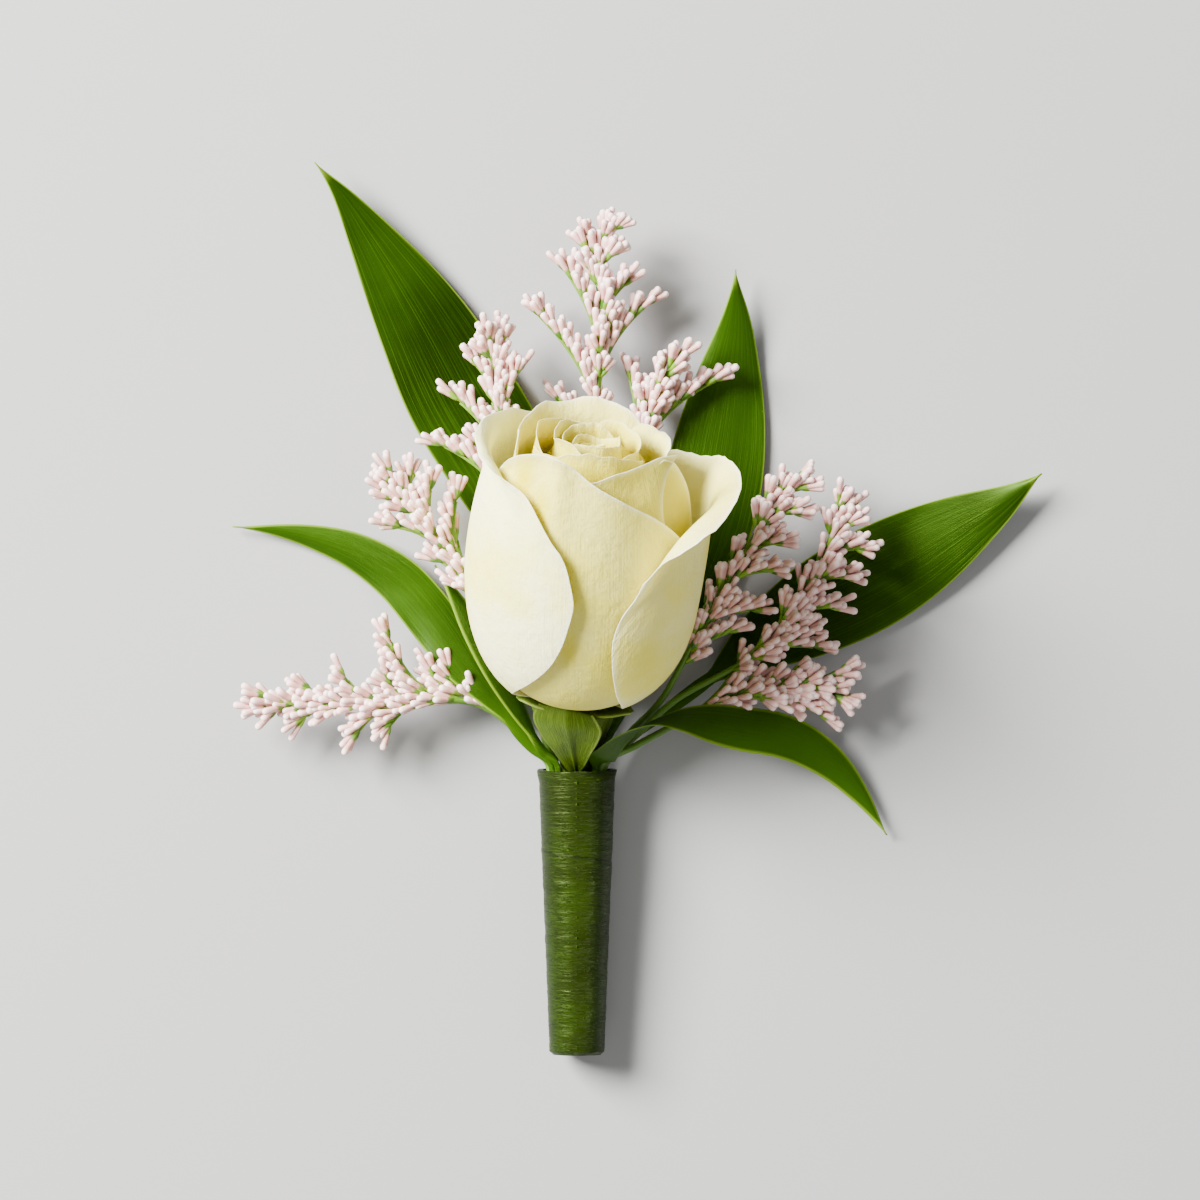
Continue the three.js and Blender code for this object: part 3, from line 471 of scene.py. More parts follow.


# ---- the rose

# Each petal lies on a bulb of its own (belly and mouth radius, and top). Its left and right edges are
# ways faced, in degrees from the front to the right, against height, and its rim is height against u,
# which is -1 at the left edge and 1 at the right. A plain number is the same all along. The last
# rim_band mm curl out through rim_turn degrees. What a petal may also have:
# - tint, of an outer petal: how yellow it is all over, partly its own yellow and partly painted shade,
#   most on the petals that lie in shade. An inner petal is nearly as yellow as can be, partly its own
#   yellow and partly painted shade.
# - shaded_hollows: painted shade, yellow hollows where the petals lie in shade, each a way faced, a
#   height, their spreads and a strength.
# - pull: how its rim is moved at u, in degrees to the right, mm outward and mm up.
# - spiral: mm of radius gained from its left edge to its right one. aside: mm that it lies to the
#   right at the heart's level. calm: the share of the usual ruffles that it keeps.
PETALS = {
    "petal_left": dict(
        belly=17.9, mouth=10.8, top=49, tint=0.07, rim_band=6, left=-150,
        right=[(0, -75), (2, -66), (6, -45), (10, -28), (14.1, -16), (17.7, -10), (22.1, -6),
               (25.7, -4), (29.1, -6), (33, -10), (36, -16), (40, -22)],
        rim_turn=[(-1, 10), (-0.5, 30), (-0.1, 70), (0.2, 95), (0.5, 80), (0.68, 35), (0.82, 10),
                  (1, 0)],
        rim=[(-1, 41), (-0.5, 44.3), (-0.1, 46.3), (0.22, 46.3), (0.45, 45), (0.62, 43.5), (0.78, 41.5),
             (0.9, 38.5), (1, 34)],
        pull=[(-1, 0, 0, 0), (-0.2, 0, 0.2, 0), (0.2, 0, 0.5, 0), (0.6, 0, 0.5, 0), (0.8, 0, 1.1, 0),
              (1, 0, 1.4, 0)],
    ),
    "petal_right": dict(
        belly=17.1, mouth=14.4, top=43, tint=0.48, rim_band=9, right=150,
        left=[(0, 60), (3, 38), (6.4, 26), (12, 18), (15.9, 16), (19.4, 16), (23.3, 20), (26.5, 26),
              (30, 29)],
        rim_turn=[(-1, 20), (-0.8, 85), (-0.6, 95), (-0.4, 70), (-0.2, 50), (0.1, 40), (0.5, 40),
                  (1, 20)],
        rim=[(-1, 29.5), (-0.9, 34.5), (-0.74, 38.5), (-0.57, 40.8), (-0.3, 42.2), (-0.05, 42.4),
             (0.08, 42.5), (0.2, 41.4), (0.35, 39.6), (0.5, 37.8), (1, 33)],
        pull=[(-1, 0, 0, 0), (-0.6, 0, 1.9, -0.3), (-0.35, 0, 4, -1.8), (-0.1, 0, 5.1, -2.9),
              (0.05, 0, 4.9, -3), (0.15, 2, 4.1, -2.8), (0.5, 0, 2, -1.2), (1, 0, 0.5, 0)],
        shaded_hollows=[(78, 36, 45, 9, 0.62)],
    ),
    "petal_front": dict(
        belly=16.2, mouth=12.3, top=47.5, tint=0.66, rim_band=3, left=-80, right=75, rim_turn=30,
        rim=[(-1, 35), (-0.82, 40.3), (-0.7, 43.9), (-0.6, 45.2), (-0.47, 45.9), (-0.36, 46.1),
             (-0.27, 46.3), (-0.19, 46.5), (-0.1, 46.1), (0.02, 44.9), (0.16, 43.2), (0.38, 40),
             (0.57, 37.2), (0.71, 34), (0.85, 29.5), (1, 26)],
        pull=[(-1, 0, 0, 0), (-0.5, 0, 0, 0), (-0.3, 0, 0.2, 0.5), (-0.19, 0, 1, 0.9),
              (-0.07, 0, 0.1, 0.5), (0.1, 0, 0.2, 0), (0.3, 0, 0.5, 0), (1, 0, 0.8, 0)],
        shaded_hollows=[(-42, 42, 14, 7, 1), (-27, 38, 11, 8, 1), (-11, 27, 12, 9, 1), (-6, 17, 12, 8, 0.9),
              (24, 26, 12, 10, 0.7)],
    ),
    "petal_right_front": dict(
        belly=14.9, mouth=11.8, top=46.5, tint=0.82, calm=0.5, rim_band=3, left=-40,
        right=[(0, 60), (28, 57), (33, 53), (36.3, 50.5), (40, 52), (42.5, 58), (44.8, 68)],
        rim=[(-1, 40), (-0.19, 43.3), (0.03, 44.2), (0.28, 44.7), (0.61, 44.9), (0.8, 45), (1, 44.6)],
        pull=[(-1, 0, -1.8, 0), (-0.3, 0, -0.4, 0), (0, 0, 0, 0), (0.6, 0, 0, 0), (0.85, 0, 1, 0),
              (1, 0, 1.4, 0)],
        shaded_hollows=[(35, 34, 30, 7, 0.75)],
    ),
    "petal_right_side": dict(
        belly=13.4, mouth=11, top=46, spiral=2.3, tint=0.82, rim_band=3,
        left=[(0, 36), (44, 42)],
        right=[(0, 90), (27, 88), (32.5, 88), (38.8, 78), (42, 69), (44.8, 60)],
        rim=[(-1, 43), (0, 44), (0.6, 44.6), (1, 44)],
        shaded_hollows=[(70, 31, 30, 7, 1.0)],
    ),
    "petal_back_right": dict(
        belly=13.4, mouth=9.9, top=44, tint=0.6, rim_band=4,
        left=[(0, 95), (44, 98)],
        right=[(0, 200), (44, 195)],
        rim_turn=[(-1, 50), (-0.6, 90), (-0.2, 80), (0.3, 40), (1, 20)],
        rim=[(-1, 42), (-0.6, 43), (-0.2, 42.3), (0.3, 41), (1, 40)],
    ),
    "petal_back": dict(
        belly=13.6, mouth=9.4, top=47, tint=0.58, calm=0.6, rim_band=4, left=-226,
        right=[(0, -60), (43, -62), (46, -70)],
        rim_turn=[(-1, 40), (0.3, 40), (0.6, 20), (1, 10)],
        rim=[(-1, 40), (-0.81, 43), (-0.65, 43.9), (-0.42, 44.5), (-0.34, 44), (-0.11, 44.2),
             (0.04, 44.3), (0.18, 44.1), (0.31, 43.2), (0.5, 43.6), (0.73, 44), (0.82, 42.8), (1, 39)],
        pull=[(-1, 0, 0, 0), (0, 0, 0, 0), (0.3, 0, -0.9, 0), (0.6, 0, -1.1, 0), (1, 0, -0.2, 0)],
    ),
    "petal_heart_left": dict(
        belly=10.6, mouth=6.9, top=46, calm=0.6, rim_band=3, left=-215,
        right=[(0, -40), (44, -48)],
        rim=[(-1, 40), (-0.2, 43), (0.1, 44.5), (0.4, 45), (1, 43.5)],
    ),
    "petal_heart_front": dict(
        belly=11, mouth=7.4, top=46.5, aside=0.3, calm=0.5, rim_band=2,
        left=[(0, -90), (44, -72)],
        right=[(0, 75), (44, 62)],
        rim=[(-1, 43.4), (-0.6, 43.9), (-0.2, 45), (0.08, 45.4), (0.4, 44.7), (0.7, 43.8), (1, 42.6)],
    ),
    "petal_whorl_left": dict(
        belly=9, mouth=4.9, top=46.5, aside=1, calm=0.5, rim_band=2, left=160,
        right=[(0, 350), (44, 345)],
        rim_turn=[(-1, 20), (0, 45), (0.4, 45), (1, 20)],
        rim=[(-1, 41), (-0.7, 42), (-0.48, 43.2), (-0.36, 44.1), (-0.2, 44.7), (-0.04, 45), (0.1, 44.3),
             (0.22, 44), (0.4, 44.6), (0.6, 45.1), (0.8, 44.9), (1, 43.8)],
    ),
    "petal_whorl_right": dict(
        belly=9, mouth=5.6, top=45.5, aside=1, calm=0.5, rim_band=2, left=30, right=190,
        rim_turn=[(-1, 20), (0, 40), (1, 20)],
        rim=[(-1, 42.4), (-0.89, 43), (-0.5, 43.1), (-0.27, 42.8), (-0.1, 43.4), (0.21, 43.4),
             (0.44, 43.6), (0.79, 42.9), (1, 41.5)],
    ),
    "petal_whorl_back": dict(
        belly=6.6, mouth=3.8, top=45.5, aside=0.9, calm=0.4, rim_band=1.5, left=112, right=290,
        rim_turn=[(-1, 20), (0, 40), (1, 20)],
        rim=[(-1, 40), (-0.66, 41.8), (-0.5, 43.1), (-0.38, 43.7), (-0.14, 43.9), (0.2, 43.9),
             (0.45, 43.6), (0.78, 43.3), (1, 42.4)],
    ),
    "petal_centre_back": dict(
        belly=5, mouth=2.7, top=45, aside=1.3, calm=0.25, rim_band=1.2, rim_turn=40,
        left=[(0, 70), (44, 78)],
        right=[(0, 290), (44, 284)],
        rim=[(-1, 42.8), (-0.88, 43.9), (-0.6, 43), (-0.35, 42.3), (-0.05, 41.8), (0.2, 42.5),
             (0.38, 42.9), (0.58, 43), (0.75, 42.4), (1, 41)],
    ),
    "petal_centre_front": dict(
        belly=5.2, mouth=3.2, top=45, aside=1.4, calm=0.25, rim_band=1, left=-95, right=100,
        rim_turn=15,
        rim=[(-1, 42), (-0.6, 43.7), (-0.3, 44.1), (0.1, 44.1), (0.5, 43.6), (0.9, 42.6), (1, 41.8)],
    ),
    "petal_bud_left": dict(
        belly=3.6, mouth=2, top=44, aside=1.3, calm=0.2, rim_band=0.8, left=150, right=370,
        rim=[(-1, 40.5), (-0.4, 41.8), (0, 42.3), (0.5, 43), (0.8, 43.2), (1, 42.6)],
    ),
    "petal_bud_right": dict(
        belly=2.6, mouth=1.1, top=44, aside=1.3, calm=0.2, rim_band=0.6, left=-40, right=190,
        rim=[(-1, 42.4), (-0.5, 43), (0, 42.8), (0.6, 42.2), (1, 41.4)],
    ),
}

STILL = [(-1, 0, 0, 0), (1, 0, 0, 0)]
USUAL_TURN = 20
HEART_LEVEL = 44
# How far, in mm, a petal's broad and fine ruffles go in and out and its rim goes up and down.
BROAD_RUFFLE = 0.35
FINE_RUFFLE = 0.16
RIM_WAVE = 0.25
# A petal's edge is this share of its full thickness, which it has this many mm further in.
EDGE_SHARE = 0.25
FULL_FROM = 4
# How far in, in mm, the ivory rim reaches: partly the petal's own pale edge, partly a painted highlight.
RIM_PALE_AND_HIGHLIGHT = 0.35


def bulb(s, petal):
    """The side of a petal at the share s of its length: a cubic Bezier curve of radius and height."""
    foot = 0.5 * (BELLY_RADIUS - petal["belly"])
    a, b, c, d = (1 - s) ** 3, 3 * (1 - s) ** 2 * s, 3 * (1 - s) * s * s, s**3
    radius = a * PETAL_FOOT_RADIUS + (b * 1.27 + c * 1.06) * petal["belly"] + d * petal["mouth"]
    return radius, foot + (b * 0.05 + c * 0.65 + d) * (petal["top"] - foot)


def curl(t, band, angle):
    """How far out and how far back a band of that width lies at the share t of it, when it is bent
    evenly through angle: an arc of radius band / angle."""
    angle = np.maximum(angle, 1e-3)
    return band / angle * (1 - np.cos(angle * t)), band / angle * (angle * t - np.sin(angle * t))


def petal_grid(petal, seed, rows=46, columns=54):
    """Points of a petal's outer face in the rose's own frame, with u, v and the distance to its edge.
    Rows run from foot to rim and columns from left to right, closer together near the edges."""
    u = np.sin(np.linspace(-np.pi / 2, np.pi / 2, columns))[None, :] * np.ones((rows, 1))
    v = np.sin(np.linspace(0, np.pi / 2, rows))[:, None] * np.ones((1, columns))
    shares = np.linspace(0, 1, 400)
    radii, heights = bulb(shares, petal)
    reach = np.interp(smooth_curve(u, petal["rim"]), heights, shares)
    radius, height = bulb(v * reach, petal)
    length = reach * np.hypot(np.diff(radii), np.diff(heights)).sum()
    left, right = smooth_curve(height, petal["left"]), smooth_curve(height, petal["right"])
    way = (left + right) / 2 + u * (right - left) / 2
    from_rim = (1 - v) * length
    from_side = (1 - np.abs(u)) / 2 * np.radians(right - left) * radius
    turn = np.radians(smooth_curve(u, petal.get("rim_turn", USUAL_TURN)))
    out, back = curl(np.clip(1 - from_rim / petal["rim_band"], 0, 1), petal["rim_band"], turn)
    ruffle = noise_wave(way / 16, height / 9, seed) * eased(v, 0.35, 1.0) * BROAD_RUFFLE
    ruffle = ruffle + noise_wave(way / 6, height / 14, seed + 1) * eased(v, 0.75, 1.0) * FINE_RUFFLE
    pull = np.clip((v - 0.5) / 0.5, 0, 1) ** 1.7
    knots = petal.get("pull", STILL)
    shift, flare, rise = (smooth_curve(u, [(k[0], k[n]) for k in knots]) * pull for n in (1, 2, 3))
    wind = petal.get("spiral", 0) * (u + 1) / 2 * eased(height, 0, 25)
    calm = petal.get("calm", 1)
    waves = noise_wave(way / 9, way / 5, seed + 2) * eased(v, 0.85, 1.0) * RIM_WAVE
    radius = radius + out + ruffle * calm + flare + wind
    height = height - back + rise + waves * calm
    angle = np.radians(way + shift)
    aside = petal.get("aside", 0) * (height / HEART_LEVEL) ** 2
    places = round_rose(radius, angle, height, aside)
    return places, way, height, v, np.minimum(from_rim, from_side)


def round_rose(radius, angle, height, aside=0):
    """Places at that radius and height round the rose's axis. The angle is 0 at the front and grows to
    the right."""
    x, y = radius * np.sin(angle) + aside, -radius * np.cos(angle)
    return np.stack(np.broadcast_arrays(x, y, height), -1)


def rose_to_part(places):
    """From the rose's own frame, whose origin is the petals' foot, whose +Z is its axis and whose -Y
    faces up off the table, to mm from the neck: tilted about X, leaned about Z and raised."""
    tilt, lean = np.radians(ROSE_TILT - 90), np.radians(-ROSE_LEAN)
    x, y, z = places[..., 0], places[..., 1], places[..., 2] + HIP_LENGTH
    y, z = y * np.cos(tilt) - z * np.sin(tilt), y * np.sin(tilt) + z * np.cos(tilt)
    x, y = x * np.cos(lean) - y * np.sin(lean), x * np.sin(lean) + y * np.cos(lean)
    return np.stack([x, y, z + MOUTH_HEIGHT], -1)


def add_petal(parts, petal, seed, thickness, inner):
    """A petal: thick in the middle, thin at its edges, and yellower the deeper it lies in the bud,
    partly its own yellow and partly painted shade, with more painted shade in its shaded hollows and a
    painted highlight along its pale rim.
    """
    places, way, height, v, to_edge = petal_grid(petal, seed)
    thick = thickness * lerp(EDGE_SHARE, 1, eased(to_edge, 0, FULL_FROM))
    # Yellow that is partly the petal's own colour and partly painted shade, raised further by the
    # painted shade of the shaded hollows.
    fold = 0.8 + 0.2 * eased(v, 1, 0.9) if inner else petal["tint"] + 0 * v
    # Painted shade: each shaded hollow yellows the petal where it lies in shade.
    for where, high, spread, rise, strength in petal.get("shaded_hollows", ()):
        near = np.exp(-(((way - where) / spread) ** 2) - ((height - high) / rise) ** 2)
        fold = np.maximum(fold, strength * near)
    # Partly the petal's own pale edge, partly a painted highlight along the thin rim.
    edge = np.exp(-to_edge / RIM_PALE_AND_HIGHLIGHT) * (0.4 if inner else 1)
    parts.add_sheet(rose_to_part(places), thick, across=np.radians(way), along=v, fold=fold, edge=edge)


def add_heart_floor(parts):
    """A shallow dome low between the inner petals, which closes the gaps between them. It is the full
    yellow of the hollows, painted shade that stands for the yellow light between the petals.
    """
    angle = circle(48)[None, :]
    radius = np.linspace(0.05, HEART_RADIUS, 16)[:, None]
    top = round_rose(radius, angle, HEART_HEIGHT - 0.03 * radius**2, 1)
    places = rose_to_part(np.concatenate([top, (top - [0, 0, 1])[::-1], top[:1]]))
    faces = grid_faces(33, 48, True)
    parts.add(places.reshape(-1, 3), faces, across=0, along=0.6, fold=1, edge=0)


# ---- the rose's stem, hip and sepals

# The hip's radius and height, from its foot to the petals.
HIP_PROFILE = [(1.9, -12.6), (2.5, -11.6), (3.1, -9.4), (3.9, -6.8), (4.7, -4.2), (5.2, -2.4),
               (5.3, -1.2), (4.4, -0.3)]
ROSE_STEM_END_RADIUS = 1.75
ROSE_STEM_MOUTH_RADIUS = 2.25
# Each sepal's way faced and how far it reaches along the petals.
SEPALS = [(52, 0.13), (134, 0.14), (206, 0.14), (286, 0.12)]


def stem_and_hip(parts):
    """The stem inside the tape and the hip above it, which is turned about the rose's axis and
    slightly ribbed."""
    end = CUT_END_RECESS - HANDLE_LENGTH
    mouth = rose_to_part(np.array([[0, 0, -HIP_LENGTH]]))[0]
    above = rose_to_part(np.array([[0, 0, 3 - HIP_LENGTH]]))[0]
    path = through([[0, end, handle_height(end)], [0, end / 2, handle_height(end / 2)],
                    [0, -3, handle_height(-3)], mouth, above], 40)
    t = np.linspace(0, 1, 40)
    places, faces = tube(path, lerp(ROSE_STEM_END_RADIUS, ROSE_STEM_MOUTH_RADIUS, t), 24)
    parts.add(places, faces, across=0, along=0.5, edge=0)
    profile = through([(r, 0, h) for r, h in HIP_PROFILE], 30)
    angle = circle(64)
    rib = 1 + 0.025 * np.cos(5 * angle) + 0.012 * np.sin(11 * angle)
    radius = profile[:, None, 0] * rib[None, :]
    hip = round_rose(radius, angle, profile[:, None, 2])
    ends = [[0, 0, profile[0, 2]], [0, 0, profile[-1, 2]]]
    solid = rose_to_part(np.vstack([hip.reshape(-1, 3), ends]))
    rise = np.r_[np.repeat(np.linspace(0, 1, 30), 64), 0, 1]
    across = np.r_[np.tile(np.abs(angle - np.pi), 30), 0, 0]
    parts.add(solid, capped_faces(30, 64), across=across, along=rise, edge=0)


def folded_sepal(parts):
    """The broad sepal over the front of the hip: up to 0.86 rad to its left and less to its right,
    0.14 at its tip near the tape, its edges lifted and a ridge down its middle."""
    shares = np.sin(np.linspace(-np.pi / 2, np.pi / 2, 31))
    v, u = np.meshgrid(np.linspace(0, 1, 34), shares, indexing="ij")
    half = smooth_curve(v, [(0, 0.74), (0.2, 0.86), (0.34, 0.8), (0.6, 0.58), (0.85, 0.38), (1, 0.14)])
    radius = smooth_curve(v, [(0, 6.0), (0.15, 6.6), (0.4, 6.1), (0.7, 4.9), (1, 3.5)])
    radius = radius + 0.9 * np.abs(u) ** 3 * eased(v, 1, 0.2) + 0.35 * np.exp(-((u / 0.12) ** 2))
    angle = np.radians(-17 + 14 * v) + np.where(u > 0, 0.82, 1) * u * half
    height = lerp(0.9, -11.2, v) + 0.4 * np.cos(3 * u)
    outer = rose_to_part(round_rose(radius, angle, height))[::-1]
    pale = 0.8 * eased(u, 0.93, 1) + 0.25 * eased(u, -0.93, -1)
    parts.add_sheet(outer, 0.35 + 0 * u, across=u[::-1] * 2, along=v[::-1], edge=pale[::-1])


def hugging_sepal(parts, way, reach):
    """A pointed sepal 0.7 mm clear of the underside of the petals, widest near its foot."""
    v, u = np.meshgrid(np.linspace(0, 1, 26), np.linspace(-1, 1, 15), indexing="ij")
    s = lerp(0.02, reach, v)
    outer_petal = dict(belly=17.4, mouth=15, top=41)
    radius, height = bulb(s, outer_petal)
    next_radius, next_height = bulb(s + 0.01, outer_petal)
    ahead = unit(np.stack([next_radius - radius, next_height - height], -1))
    clear = 0.7 + 0.3 * np.abs(u) ** 2
    radius, height = radius + clear * ahead[..., 1], height - clear * ahead[..., 0]
    half = smooth_curve(v, [(0, 2.2), (0.3, 2.6), (0.7, 1.7), (1, 0.1)])
    angle = np.radians(way) + u * half / np.maximum(radius, 4)
    outer = rose_to_part(round_rose(radius, angle, height))
    parts.add_sheet(outer, 0.4 + 0 * u, across=u * 2, along=v, edge=eased(np.abs(u), 0.7, 1.0))


# ---- the handle


def handle_radius(y):
    """The radius of the tape's outer side."""
    return lerp(HANDLE_MOUTH_RADIUS, HANDLE_END_RADIUS, -y / HANDLE_LENGTH)


def handle_height(y):
    """How high the handle's middle line lies."""
    return handle_radius(y) - REST_FLAT


def slot_point(slot, y):
    """Where the stem in that slot runs inside the tape at y. The slot is an angle round the handle."""
    share = -y / HANDLE_LENGTH
    stem = lerp(RING_STEM_MOUTH_RADIUS, RING_STEM_END_RADIUS, share)
    reach = handle_radius(y) - lerp(TAPE_MOUTH, TAPE_END, share) - STEM_GAP - stem
    angle = np.radians(slot)
    return [reach * np.cos(angle), y, handle_height(y) + reach * np.sin(angle)]


def stem_path(slot, places, count):
    """A stem from its cut end, straight through the tape and on through places, and the share of it
    that lies in the tape."""
    held = [slot_point(slot, y) for y in (CUT_END_RECESS - HANDLE_LENGTH, -20, -4, 0.8)]
    path = through(held + list(places), 400)
    inside = (HANDLE_LENGTH - CUT_END_RECESS) / path_length(path)
    return evenly(path, count), inside


def tape_sleeve(parts, step_height):
    """The sleeve of tape: a cone on which each turn of the tape stands step_height high at its edge
    and falls back along the turn, most clearly CLEAR_SEAM from the mouth. It is wrinkled across and
    crumpled at its mouth, and has an inner wall."""
    rows, columns = 230, 120
    y = -np.linspace(0, HANDLE_LENGTH, rows)[:, None]
    angle = circle(columns)[None, :]
    wound = (-y / HANDLE_LENGTH * TAPE_TURNS + angle / (2 * np.pi) - 0.25) % 1.0
    step = step_height * (1 - wound) * eased(wound, 0, 0.05)
    step = step * (0.25 + np.exp(-(((y + CLEAR_SEAM) / 3) ** 2)))
    wrinkle = 0.03 * noise_wave(-y * 5.5 + 0 * angle, 2.2 * np.sin(angle), 3, 9)
    wrinkle = wrinkle + 0.02 * noise_wave(-y * 13 + 2 * np.sin(angle), 3 * np.cos(angle), 4, 9)
    mouth = eased(-y, 2.2, 0) * 0.28 * noise_wave(3 * np.cos(angle) + 0 * y, 3 * np.sin(angle) + y, 5, 7)
    last = eased(-y, HANDLE_LENGTH - 0.7, HANDLE_LENGTH)
    outer = handle_radius(y) - TAPE_INSET + step + wrinkle + mouth * 0.6 - 0.5 * last**2
    depth = lerp(TAPE_MOUTH, TAPE_END, -y / HANDLE_LENGTH)
    inner = handle_radius(y) - depth + 0 * angle
    radius = np.vstack([outer, inner[::-1], outer[:1]])
    edge_wave = 0.25 * noise_wave(2.5 * np.cos(angle), 2.5 * np.sin(angle), 6, 5)
    along = np.vstack([y + 0 * angle, (y + 0 * angle)[::-1], y[:1] + 0 * angle])
    shift = (edge_wave * 0.5 - 0.35 * np.maximum(np.sin(angle), 0) ** 2) * np.exp(along / 1.5)
    height = handle_height(along)
    along_tape, up = along + np.minimum(shift, 0.0), height + radius * np.sin(angle)
    places = np.stack([radius * np.cos(angle), along_tape, up], -1)
    places[..., 2] = np.maximum(places[..., 2], 0)
    ring = places[:-1].reshape(-1, 3)
    faces = grid_faces(len(places), columns, True) % (2 * rows * columns)
    seam = np.exp(-((wound * 9) ** 2)) * (0.12 + np.exp(-(((y + CLEAR_SEAM) / 2.4) ** 2)))
    seam = np.vstack([seam, 0 * outer])
    wide = np.ones((2 * rows, 1))
    parts.add(ring, faces, east=(wide * np.cos(angle)).ravel(), north=(wide * np.sin(angle)).ravel(),
              along=(-along[:-1]).ravel(), seam=seam.ravel())


# ---- the leaves

# Each leaf's slot in the handle, its bare stalk in mm, its half-width, where along the blade it is
# widest, its roll in degrees at the foot and the tip, how light it is made (painted light that lifts
# the leaves lying in the rose's shadow) and how pale-edged it is (partly its own pale margin, partly a
# painted highlight), and its places from the neck to the tip. A leaf may also have turning, the shares
# of its way from the tape to its tip between which it rolls, and base, the half-width of its blade's
# foot.
LEAVES = {
    "leaf_upper_left": dict(
        slot=241, stalk=20, half=8.4, peak=0.44, turn=(0, 6), bright=0.0, pale=0.16,
        places=[(-2.6, 9, 2.0), (-4, 22, 1.5), (-7, 35.7, 1.4), (-12.3, 47, 1.4), (-17.6, 56, 1.5),
                (-22.2, 64.8, 1.8), (-26.7, 72.6, 2.4), (-31.3, 80, 3.2), (-35.3, 86, 4),
                (-39.2, 90.6, 4.6)],
    ),
    "leaf_upper_right": dict(
        slot=309, stalk=17, half=7.4, peak=0.46, turn=(0, -8), bright=0.5, pale=0.16,
        places=[(5.4, 6.2, 2.4), (10.8, 16.4, 1.7), (15.5, 25.2, 1.3), (18.5, 33.5, 1.3),
                (20.3, 41.7, 1.3), (21.8, 50.7, 1.4), (23, 59.7, 1.8), (23.8, 67.2, 2.6),
                (23.7, 74.6, 3.8)],
    ),
    "leaf_right": dict(
        slot=328, stalk=20, half=7.6, peak=0.48, turn=(0, 8), bright=0.15, pale=0.16,
        places=[(7.6, 4.4, 3.2), (12.6, 8, 2.4), (20, 13.5, 1.6), (27.5, 18.9, 1.3), (35, 23.4, 1.3),
                (42.5, 27.6, 1.3), (50, 31.8, 1.5), (57.5, 36.2, 2), (64.2, 40.2, 2.8),
                (69.5, 44.1, 3.8)],
    ),
    "leaf_left": dict(
        slot=157, stalk=8, half=3.8, peak=0.42, turn=(-16, 12), bright=0.42, pale=0.22,
        places=[(-6.4, 3, 7.4), (-9.7, 7, 7.2), (-13.2, 11.3, 6.8), (-16.8, 15.6, 5.8),
                (-19.9, 20, 4.8), (-23, 24.1, 3.8), (-27, 28.4, 2.8), (-33.2, 32.4, 1.7),
                (-39.3, 34.5, 1.3), (-44.8, 35.6, 1.3), (-51.6, 36.2, 1.4)],
    ),
    "leaf_inner_left": dict(
        slot=136, stalk=4, half=2.5, peak=0.45, turn=(-50, -30), bright=0.2, pale=0.3,
        places=[(-5, 2.6, 8.8), (-7.8, 7.2, 8.8), (-10.4, 12, 8.2), (-13.2, 17.2, 7.4), (-16, 22, 6.6),
                (-18.6, 26.4, 5.8), (-21.2, 30.4, 5.2)],
    ),
    "leaf_lower_right": dict(
        slot=48, stalk=3, base=2.9, half=3.5, peak=0.5, turn=(126, 16), turning=(0.04, 0.44),
        bright=0.8, pale=0.32,
        places=[(3.9, 1.8, 9.9), (6.7, 4.5, 11.2), (10.9, 6.8, 12.2), (15.4, 7.3, 12), (20, 6.9, 10.8),
                (25, 6, 9), (30, 5.1, 7), (34.2, 3.4, 5.2), (38.6, 0.3, 3.6), (42.6, -4.2, 2.2),
                (46.4, -10, 1.2)],
    ),
}
BLADE_POINT = 2.3
LEAF_LOWEST = 0.75
USUAL_TURNING = (0, 0.8)
USUAL_BASE = 1.1
# Shares of a leaf's half-width: how far its edges hang, and how far they wave up and down.
LEAF_ARCH = 0.13
LEAF_WAVE = 0.05
STALK_SHARE = 0.85
THINNER_EDGE = 0.55


def blade_share(t, peak):
    """The half-width along a blade as a share of its widest: t^a (1 - t)^b, made 1 at the peak."""
    t = np.clip(t, 0, 1)
    a, b = BLADE_POINT * peak, BLADE_POINT * (1 - peak)
    return t**a * (1 - t) ** b / (peak**a * (1 - peak) ** b)


